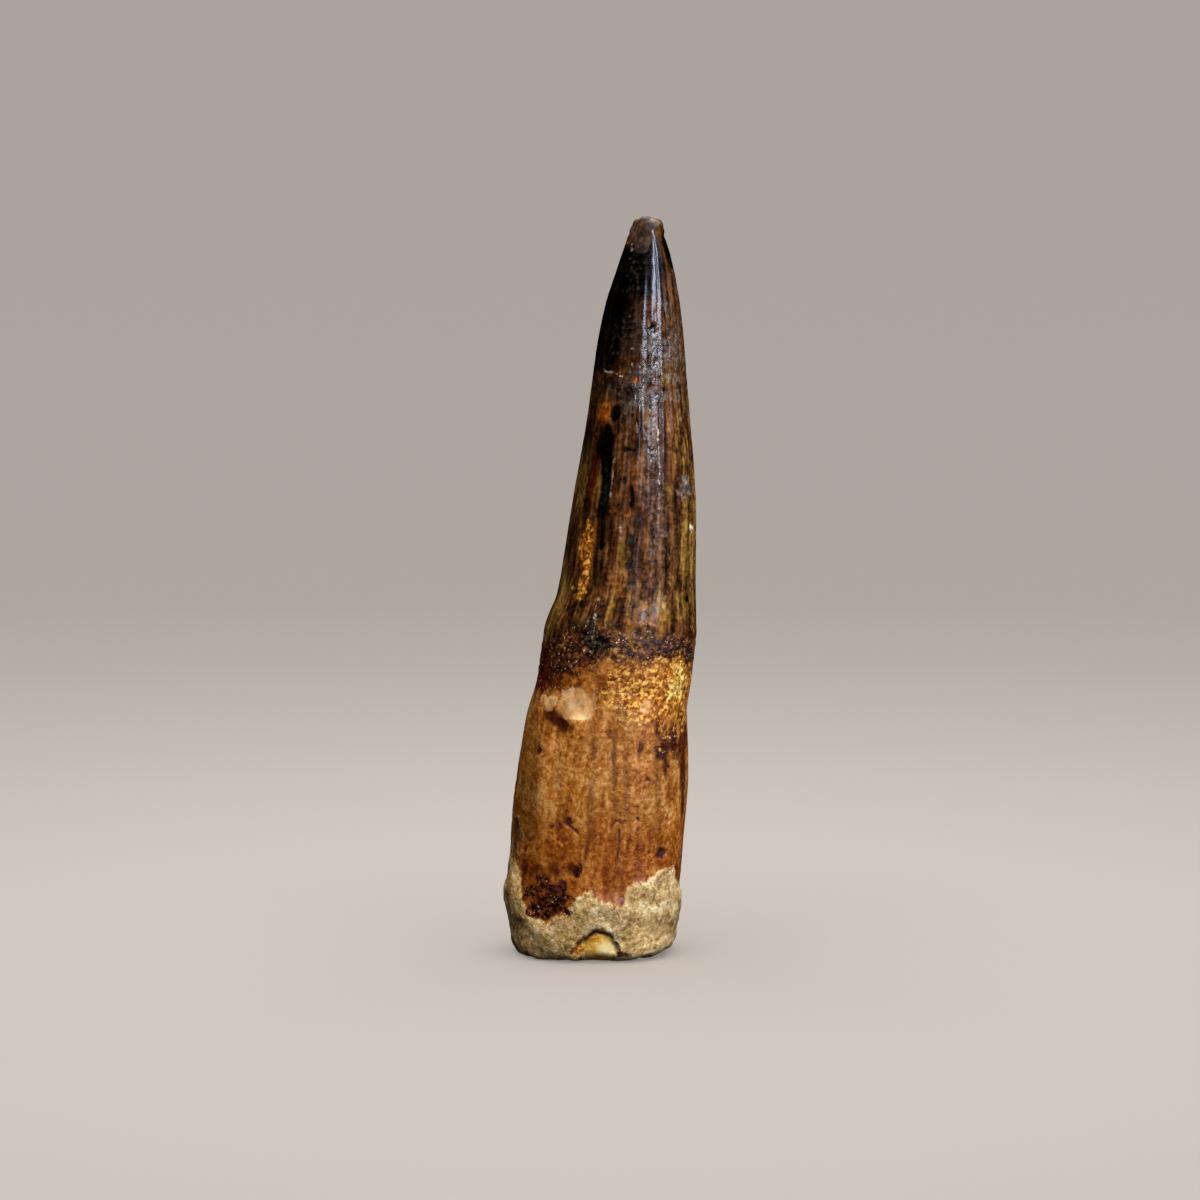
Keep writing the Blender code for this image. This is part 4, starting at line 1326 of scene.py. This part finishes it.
@dataclass
class FossilMaterial(NodeMaterial):
    """Mineralised enamel, dentine and crust, layer over layer.

    Attributes:
        grain_size: sand and enamel grains, in millimetres.
        crystal_size: calcite and quartz crystals.
        grit_size: single clean grains.
        cloud_size: stains.
        streak_width: growth lines, across.
        streak_length: growth lines, along.
        band_width: bundles of growth lines, across.
        unevenness: how much the gloss varies from grain to grain.
        bump_depth: the depth of the finest relief, in millimetres.
        bump_strength: how strongly it shows on the root.
    """

    grain_size: float = 0.7
    crystal_size: float = 0.42
    grit_size: float = 0.30
    cloud_size: float = 3.2
    streak_width: float = 0.7
    streak_length: float = 5.5
    band_width: float = 2.2
    unevenness: float = 0.22
    bump_depth: float = 0.22
    bump_strength: float = 0.5

    def build(self) -> bpy.types.Material:
        """Makes the material.

        Returns:
            The material, ready to use.
        """
        # A fossil tooth: apatite enamel and dentine turned to stone, stained by iron and manganese and
        # polished by handling. Glassy on the crown, waxy on the root, matt and gritty where sand clings.
        shader = self.start("mineralised_enamel_and_dentine")
        # Apatite and calcite both bend light a little more than glass does.
        shader.inputs["IOR"].default_value = 1.6
        weaves = self.weaves()
        lowest = FINISHES[0]
        colour = self.tones(lowest, weaves[lowest.weave])
        gloss: bpy.types.NodeSocket | float = lowest.roughness
        for finish in FINISHES[1:]:
            tone = self.tones(finish, weaves[finish.weave])
            cover = self.specks(finish, weaves) if finish.speck else self.cover(finish, weaves)
            colour = self.node(
                "ShaderNodeMix",
                {"Factor": cover, 6: colour, 7: tone},
                data_type="RGBA",
            ).outputs[2]
            gloss = self.blend(cover, gloss, finish.roughness)
        for wash in WASHES:
            cover = self.node("ShaderNodeAttribute", {}, attribute_name=wash.layer.value).outputs["Fac"]
            colour = self.node(
                "ShaderNodeMix",
                {"Factor": cover, 6: colour, 7: (*wash.tint, 1.0)},
                data_type="RGBA",
                blend_type="MULTIPLY",
                clamp_result=True,
            ).outputs[2]
        self.links.new(colour, shader.inputs["Base Color"])
        uneven = self.node(
            "ShaderNodeMath",
            {0: weaves[Weave.GRAIN], 1: self.unevenness, 2: -0.5 * self.unevenness},
            operation="MULTIPLY_ADD",
        ).outputs[0]
        gloss = self.node("ShaderNodeMath", {0: gloss, 1: uneven}, operation="ADD").outputs[0]
        self.links.new(gloss, shader.inputs["Roughness"])
        self.links.new(self.bump(weaves), shader.inputs["Normal"])
        return self.material

    def weaves(self) -> dict[Weave, bpy.types.NodeSocket]:
        """Makes the patterns that the finishes share.

        Returns:
            One pattern for each weave.
        """
        coordinates = self.node("ShaderNodeTexCoord", {}).outputs["Object"]
        millimetres = self.node(
            "ShaderNodeVectorMath",
            {0: coordinates, "Scale": 1.0 / MM},
            operation="SCALE",
        ).outputs[0]
        flow = self.node("ShaderNodeAttribute", {}, attribute_name="flow").outputs["Vector"]
        drawn = self.node(
            "ShaderNodeVectorMath",
            {0: flow, 1: (1.0, 1.0, self.streak_width / self.streak_length)},
            operation="MULTIPLY",
        ).outputs[0]
        grain = self.clouds(millimetres, self.grain_size, 4.0, 0.62)
        shaken = self.node(
            "ShaderNodeVectorMath",
            {0: grain, 1: (0.9, 0.9, 0.9), 2: millimetres},
            operation="MULTIPLY_ADD",
        ).outputs[0]
        crystals = self.node(
            "ShaderNodeTexVoronoi",
            {"Vector": shaken, "Scale": 1.0 / self.crystal_size, "Smoothness": 0.4},
            feature="SMOOTH_F1",
        )
        facets = self.node("ShaderNodeSeparateColor", {"Color": crystals.outputs["Color"]}).outputs
        grits = self.node("ShaderNodeTexVoronoi", {"Vector": shaken, "Scale": 1.0 / self.grit_size})
        picks = self.node("ShaderNodeSeparateColor", {"Color": grits.outputs["Color"]}).outputs
        cloud = self.clouds(millimetres, self.cloud_size, 5.0, 0.62)
        streak = self.clouds(drawn, self.streak_width, 3.0, 0.6)
        band = self.clouds(drawn, self.band_width, 2.0, 0.5)
        grains = self.blend(0.4, grain, cloud)
        streaks = self.blend(0.35, streak, band)
        mottle = self.blend(0.64, streaks, grains)
        pebbles = self.blend(0.5, grain, self.blend(crystals.outputs["Distance"], 1.0, 0.0))
        enamel = self.node("ShaderNodeAttribute", {}, attribute_name=Layer.ENAMEL.value).outputs["Fac"]
        etched = self.node("ShaderNodeAttribute", {}, attribute_name=Layer.ASH_AND_SHEEN.value).outputs["Fac"]
        glassy = self.node(
            "ShaderNodeMath",
            {0: enamel, 1: etched},
            operation="SUBTRACT",
            use_clamp=True,
        ).outputs[0]
        drawn_share = self.node("ShaderNodeMath", {0: glassy, 1: 0.85}, operation="MULTIPLY").outputs[0]
        return {
            Weave.GRAIN: self.blend(0.30, self.stretch(grains, 2.1), self.stretch(facets[0], 1.4)),
            Weave.SAND: self.blend(0.14, self.stretch(self.blend(0.45, grain, cloud), 1.7), facets[0]),
            Weave.CLOUD: self.stretch(self.blend(0.25, cloud, grain), 1.9),
            Weave.SPECK: picks[1],
            Weave.RIM: grits.outputs["Distance"],
            Weave.STREAK: self.stretch(self.blend(0.45, streaks, grains), 2.1),
            Weave.MOTTLE: self.blend(0.08, self.stretch(mottle, 1.7), facets[0]),
            Weave.RELIEF: self.blend(drawn_share, pebbles, self.stretch(streak, 0.4)),
        }

    def stretch(self, pattern: bpy.types.NodeSocket, times: float) -> bpy.types.NodeSocket:
        """Raises a pattern's contrast about its middle.

        Args:
            pattern: the pattern.
            times: how many times.

        Returns:
            The stronger pattern.
        """
        return self.node(
            "ShaderNodeMapRange",
            {"Value": pattern, "From Min": 0.5 - 0.5 / times, "From Max": 0.5 + 0.5 / times},
        ).outputs[0]

    def clouds(
        self,
        place: bpy.types.NodeSocket,
        size: float,
        detail: float,
        rough: float,
    ) -> bpy.types.NodeSocket:
        """Makes one cloudy pattern.

        Args:
            place: where it is read.
            size: the size of its lumps, in millimetres.
            detail: how many finer patterns it holds.
            rough: how strong each finer one is.

        Returns:
            About 0.5, with most of it from 0.35 to 0.65.
        """
        inputs = {"Vector": place, "Scale": 1.0 / size, "Detail": detail, "Roughness": rough}
        return self.node("ShaderNodeTexNoise", inputs).outputs["Fac"]

    def blend(
        self,
        share: float | bpy.types.NodeSocket,
        first: float | bpy.types.NodeSocket,
        second: float | bpy.types.NodeSocket,
    ) -> bpy.types.NodeSocket:
        """Mixes two numbers.

        Args:
            share: how much of the second one goes in.
            first: the first number.
            second: the second number.

        Returns:
            The mix.
        """
        return self.node("ShaderNodeMix", {"Factor": share, 2: first, 3: second}).outputs[0]

    def tones(self, finish: Finish, weave: bpy.types.NodeSocket) -> bpy.types.NodeSocket:
        """Spreads a finish's three tones over its pattern.

        Args:
            finish: the finish.
            weave: its pattern.

        Returns:
            The colour.
        """
        ramp = self.node("ShaderNodeValToRGB", {"Fac": weave})
        ramp.label = finish.layer.value
        dark, light = linear(finish.dark), linear(finish.light)
        stops = ramp.color_ramp.elements
        stops[0].position = 0.16
        stops[0].color = (*(0.35 * value for value in dark[:3]), 1.0)
        stops[1].position = 0.86
        stops[1].color = (*(min(1.3 * value, 1.0) for value in light[:3]), 1.0)
        stops.new(0.34).color = dark
        stops.new(0.50).color = linear(finish.middle)
        stops.new(0.67).color = light
        return ramp.outputs["Color"]

    def cover(
        self,
        finish: Finish,
        weaves: dict[Weave, bpy.types.NodeSocket],
    ) -> bpy.types.NodeSocket:
        """Breaks a layer's edge into grains.

        Args:
            finish: the finish.
            weaves: the shared patterns.

        Returns:
            0 where the layer is absent, 1 where it is whole.
        """
        mask = self.node("ShaderNodeAttribute", {}, attribute_name=finish.layer.value).outputs["Fac"]
        breaker = weaves[Weave.STREAK if finish.weave is Weave.STREAK else Weave.GRAIN]
        reach = 0.30 if finish.weave is Weave.CLOUD else 0.5 + 0.6 * finish.crisp
        broken = self.node(
            "ShaderNodeMath",
            {0: breaker, 1: reach, 2: -0.5 * reach},
            operation="MULTIPLY_ADD",
        ).outputs[0]
        total = self.node("ShaderNodeMath", {0: mask, 1: broken}, operation="ADD").outputs[0]
        low = 0.08 + 0.27 * finish.crisp
        return self.node(
            "ShaderNodeMapRange",
            {"Value": total, "From Min": low, "From Max": 1.0 - low},
            interpolation_type="SMOOTHSTEP",
        ).outputs[0]

    def specks(
        self,
        finish: Finish,
        weaves: dict[Weave, bpy.types.NodeSocket],
    ) -> bpy.types.NodeSocket:
        """Picks single crystals for a layer to show on.

        Args:
            finish: the finish.
            weaves: the shared patterns.

        Returns:
            0 where the layer is absent, 1 where it is whole.
        """
        mask = self.node("ShaderNodeAttribute", {}, attribute_name=finish.layer.value).outputs["Fac"]
        # Pores take the crystals at the low end of the noise, and glints those at the high end.
        start, end = 1.3 * finish.speck, 0.7 * finish.speck
        if finish.layer is not Layer.PORE:
            start, end = 1.0 - start, 1.0 - end
        chosen = self.node(
            "ShaderNodeMapRange",
            {"Value": weaves[Weave.SPECK], "From Min": start, "From Max": end},
        ).outputs[0]
        middle = self.node(
            "ShaderNodeMapRange",
            {"Value": weaves[Weave.RIM], "From Min": 0.42, "From Max": 0.22},
        ).outputs[0]
        chosen = self.node("ShaderNodeMath", {0: chosen, 1: middle}, operation="MULTIPLY").outputs[0]
        return self.node("ShaderNodeMath", {0: mask, 1: chosen}, operation="MULTIPLY").outputs[0]

    def bump(self, weaves: dict[Weave, bpy.types.NodeSocket]) -> bpy.types.NodeSocket:
        """Roughens the surface more finely than the mesh can.

        Args:
            weaves: the shared patterns.

        Returns:
            The normal.
        """
        strength: float | bpy.types.NodeSocket = self.bump_strength
        for layer, height in BUMPS:
            cover = self.node("ShaderNodeAttribute", {}, attribute_name=layer.value).outputs["Fac"]
            strength = self.blend(cover, strength, height)
        return self.node(
            "ShaderNodeBump",
            {"Strength": strength, "Distance": self.bump_depth * MM, "Height": weaves[Weave.RELIEF]},
        ).outputs["Normal"]


# The paper's tones, which it also glows with as painted light, as (metres from the tooth, sRGB hex).
PAPER = (
    (0.0, "d1c8c1"),
    (0.10, "d1c8c1"),
    (0.17, "ccc3bc"),
    (0.27, "c1bab2"),
    (0.40, "b6afa7"),
    (0.60, "afa69f"),
    (0.96, "aba49e"),
)


@dataclass
class PaperMaterial(NodeMaterial):
    """Matt uncoated background paper, which glows with painted light whose tone falls off away from the
    tooth.

    Attributes:
        reach: how far from the tooth its tone changes, in metres.
        near_glow: how much of its light near the tooth is its own, so that the shadow stays soft.
        lit_within: up to where it is lit by the lamps, in metres.
        glows_beyond: from where all its light is its own.
    """

    reach: float = 0.96
    near_glow: float = 0.35
    lit_within: float = 0.12
    glows_beyond: float = 0.40

    def build(self) -> bpy.types.Material:
        """Makes the material.

        Returns:
            The material, ready to use.
        """
        # Background paper: uncoated pulp, so it has no gloss and scatters light evenly. Away from the tooth
        # its light is a painted glow.
        shader = self.start("grey_paper")
        coordinates = self.node("ShaderNodeTexCoord", {}).outputs["Object"]
        away = self.node("ShaderNodeVectorMath", {0: coordinates}, operation="LENGTH").outputs["Value"]
        share = self.node("ShaderNodeMapRange", {"Value": away, "From Max": self.reach}).outputs[0]
        ramp = self.node("ShaderNodeValToRGB", {"Fac": share})
        stops = ramp.color_ramp.elements
        stops[0].color = linear(PAPER[0][1])
        stops[1].color = linear(PAPER[-1][1])
        for place, tone in PAPER[1:-1]:
            stops.new(place / self.reach).color = linear(tone)
        span = {"Value": away, "From Min": self.lit_within, "From Max": self.glows_beyond}
        glow = self.node(
            "ShaderNodeMapRange",
            {**span, "To Min": self.near_glow},
            interpolation_type="SMOOTHSTEP",
        ).outputs[0]
        shade = self.node(
            "ShaderNodeMapRange",
            {**span, "To Min": 1.0, "To Max": 0.0},
            interpolation_type="SMOOTHSTEP",
        ).outputs[0]
        lit = self.node(
            "ShaderNodeVectorMath",
            {0: ramp.outputs["Color"], "Scale": shade},
            operation="SCALE",
        ).outputs[0]
        self.links.new(ramp.outputs["Color"], shader.inputs["Emission Color"])
        self.links.new(glow, shader.inputs["Emission Strength"])
        self.links.new(lit, shader.inputs["Base Color"])
        shader.inputs["Roughness"].default_value = 0.9
        shader.inputs["Specular IOR Level"].default_value = 0.0
        return self.material


@dataclass(frozen=True)
class Lamp:
    """One soft box, aimed at the tooth.

    Attributes:
        name: the lamp's name.
        azimuth: where it stands, in degrees to the right of the camera.
        elevation: how high it stands, in degrees.
        away: its distance, in metres.
        size: its width and height, in metres.
        watts: its power.
        hue: its colour, as sRGB hex.
        shine: whether glossy surfaces mirror it.
        roll: how far its top leans to the camera's right, in degrees.
        aim_height: the height that it is aimed at, in metres.
    """

    name: str
    azimuth: float
    elevation: float
    away: float
    size: Pair
    watts: float
    hue: str
    shine: bool = False
    roll: float = 0.0
    aim_height: float = 0.055

    def build(self, lit: bpy.types.Collection) -> bpy.types.Object:
        """Hangs the lamp.

        Args:
            lit: what it lights.

        Returns:
            The lamp's object.
        """
        data = bpy.data.lights.new(self.name, "AREA")
        data.shape = "RECTANGLE"
        data.size, data.size_y = self.size
        data.energy = self.watts
        data.color = linear(self.hue)[:3]
        turn, rise = math.radians(self.azimuth), math.radians(self.elevation)
        way = Vector((math.sin(turn) * math.cos(rise), -math.cos(turn) * math.cos(rise), math.sin(rise)))
        lamp = bpy.data.objects.new(self.name, data)
        lamp.location = Vector((0.0, 0.0, self.aim_height)) + way * self.away
        aim = (-way).to_track_quat("-Z", "Y")
        lamp.rotation_euler = (Quaternion(way, -math.radians(self.roll)) @ aim).to_euler()
        lamp.visible_glossy = self.shine
        lamp.light_linking.receiver_collection = lit
        lamp.visible_camera = False
        bpy.context.scene.collection.objects.link(lamp)
        return lamp


TOOTH_LAMPS = (
    # A narrow, cool box, like a window, that draws the long highlight down the crown.
    Lamp("window", 44.0, 34.0, 0.80, (0.18, 0.56), 5.2, "dae4ff", shine=True, roll=42.0),
    # Wide boxes that fill in softly.
    Lamp("front", 20.0, 52.0, 0.80, (0.60, 0.45), 9.2, "fffaf2"),
    Lamp("left", -100.0, 60.0, 0.90, (0.50, 0.50), 3.0, "fffaf2"),
    # Parts the tooth from the paper, and shows the gloss from behind.
    Lamp("back", 180.0, 58.0, 0.90, (0.60, 0.50), 7.0, "ffffff", shine=True),
)

# Lights the paper alone, from straight above.
FLOOR_LAMP = Lamp("floor", 0.0, 89.0, 0.70, (1.60, 1.60), 8.4, "ffffff")


@dataclass
class Studio:
    """A pale sweep of paper, the soft lights and the camera.

    Attributes:
        view_height: the height that the camera looks at, in metres.
        distance: how far the camera stands from the tooth.
        elevation: how far it looks down, in degrees.
        lens: its focal length on a 36 mm wide frame.
        floor_start: the radius of the round face in the floor's middle, in metres.
        floor_reach: how far out the floor is flat.
        cove: the radius of its curve up into the wall.
        cove_steps: how many steps that curve has.
        wall_top: the wall's height.
        turns: how many steps the sweep has all round.
        world_tone: the colour of the faint light from all round, as sRGB hex.
        world_light: its strength.
    """

    view_height: float = 0.053
    distance: float = 0.4225
    elevation: float = 5.0
    lens: float = 85.0
    floor_start: float = 0.02
    floor_reach: float = 0.62
    cove: float = 0.30
    cove_steps: int = 12
    wall_top: float = 0.70
    turns: int = 96
    world_tone: str = "cfc8c2"
    world_light: float = 0.08

    def build(self) -> None:
        """Sets up everything round the tooth."""
        self.lights(self.sweep())
        self.camera()

    def sweep(self) -> bpy.types.Object:
        """Makes the floor, a round sheet that curves up into a wall all round.

        Returns:
            The sheet.
        """
        bm = bmesh.new()
        profile = [Vector((self.floor_start, 0.0, 0.0)), Vector((self.floor_reach, 0.0, 0.0))]
        for step in range(1, self.cove_steps + 1):
            turn = 0.5 * math.pi * step / self.cove_steps
            out = self.floor_reach + self.cove * math.sin(turn)
            profile.append(Vector((out, 0.0, self.cove * (1.0 - math.cos(turn)))))
        profile.append(Vector((self.floor_reach + self.cove, 0.0, self.wall_top)))
        points = [bm.verts.new(place) for place in profile]
        edges = [bm.edges.new(pair) for pair in zip(points, points[1:])]
        bmesh.ops.spin(
            bm,
            geom=points + edges,
            cent=(0.0, 0.0, 0.0),
            axis=(0.0, 0.0, 1.0),
            angle=2.0 * math.pi,
            steps=self.turns,
            use_merge=True,
        )
        hole = [edge for edge in bm.edges if edge.verts[0].co.length < 1.5 * self.floor_start]
        bmesh.ops.holes_fill(bm, edges=hole)
        bmesh.ops.recalc_face_normals(bm, faces=bm.faces)
        if bm.faces[0].normal.z < 0.0:
            bmesh.ops.reverse_faces(bm, faces=bm.faces)
        mesh_data = bpy.data.meshes.new("paper_sweep")
        bm.to_mesh(mesh_data)
        bm.free()
        mesh_data.shade_smooth()
        mesh_data.materials.append(PaperMaterial().build())
        sweep = bpy.data.objects.new("paper_sweep", mesh_data)
        bpy.context.scene.collection.objects.link(sweep)
        sweep.visible_diffuse = False
        sweep.visible_glossy = False
        sweep.visible_shadow = False
        sweep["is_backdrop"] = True
        return sweep

    def lights(self, sweep: bpy.types.Object) -> None:
        """Hangs the tooth's lamps and the floor's one, and sets the faint light all round.

        Args:
            sweep: the floor's sheet.
        """
        tooth_only = bpy.data.collections.new("lit_with_the_tooth")
        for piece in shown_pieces():
            tooth_only.objects.link(piece)
        floor_only = bpy.data.collections.new("lit_with_the_floor")
        floor_only.objects.link(sweep)
        for lamp in TOOTH_LAMPS:
            lamp.build(tooth_only)
        FLOOR_LAMP.build(floor_only)
        world = bpy.data.worlds.new("studio")
        world.use_nodes = True
        background = world.node_tree.nodes["Background"]
        background.inputs["Color"].default_value = linear(self.world_tone)
        background.inputs["Strength"].default_value = self.world_light
        world.cycles_visibility.glossy = False
        bpy.context.scene.world = world

    def camera(self) -> None:
        """Places the camera at the photograph's angle."""
        data = bpy.data.cameras.new("camera")
        data.lens = self.lens
        data.sensor_width = 36.0
        data.clip_start = 0.01
        rise = math.radians(self.elevation)
        way = Vector((0.0, -math.cos(rise), math.sin(rise)))
        camera = bpy.data.objects.new("camera", data)
        camera.location = Vector((0.0, 0.0, self.view_height)) + way * self.distance
        camera.rotation_euler = (-way).to_track_quat("-Z", "Y").to_euler()
        bpy.context.scene.collection.objects.link(camera)
        bpy.context.scene.camera = camera
        bpy.context.scene.view_settings.view_transform = "Standard"


def main() -> None:
    """Dresses the tooth and sets up the studio."""
    logging.basicConfig(level=logging.INFO, format="%(name)s: %(message)s")
    skin = ToothSkin().build()
    LOG.info("%s: %d faces, %d materials", skin.name, len(skin.data.polygons), len(skin.data.materials))
    Studio().build()
    LOG.info("studio: paper sweep, %d lamps and the camera", len(TOOTH_LAMPS) + 1)


if __name__ == "__main__":
    main()
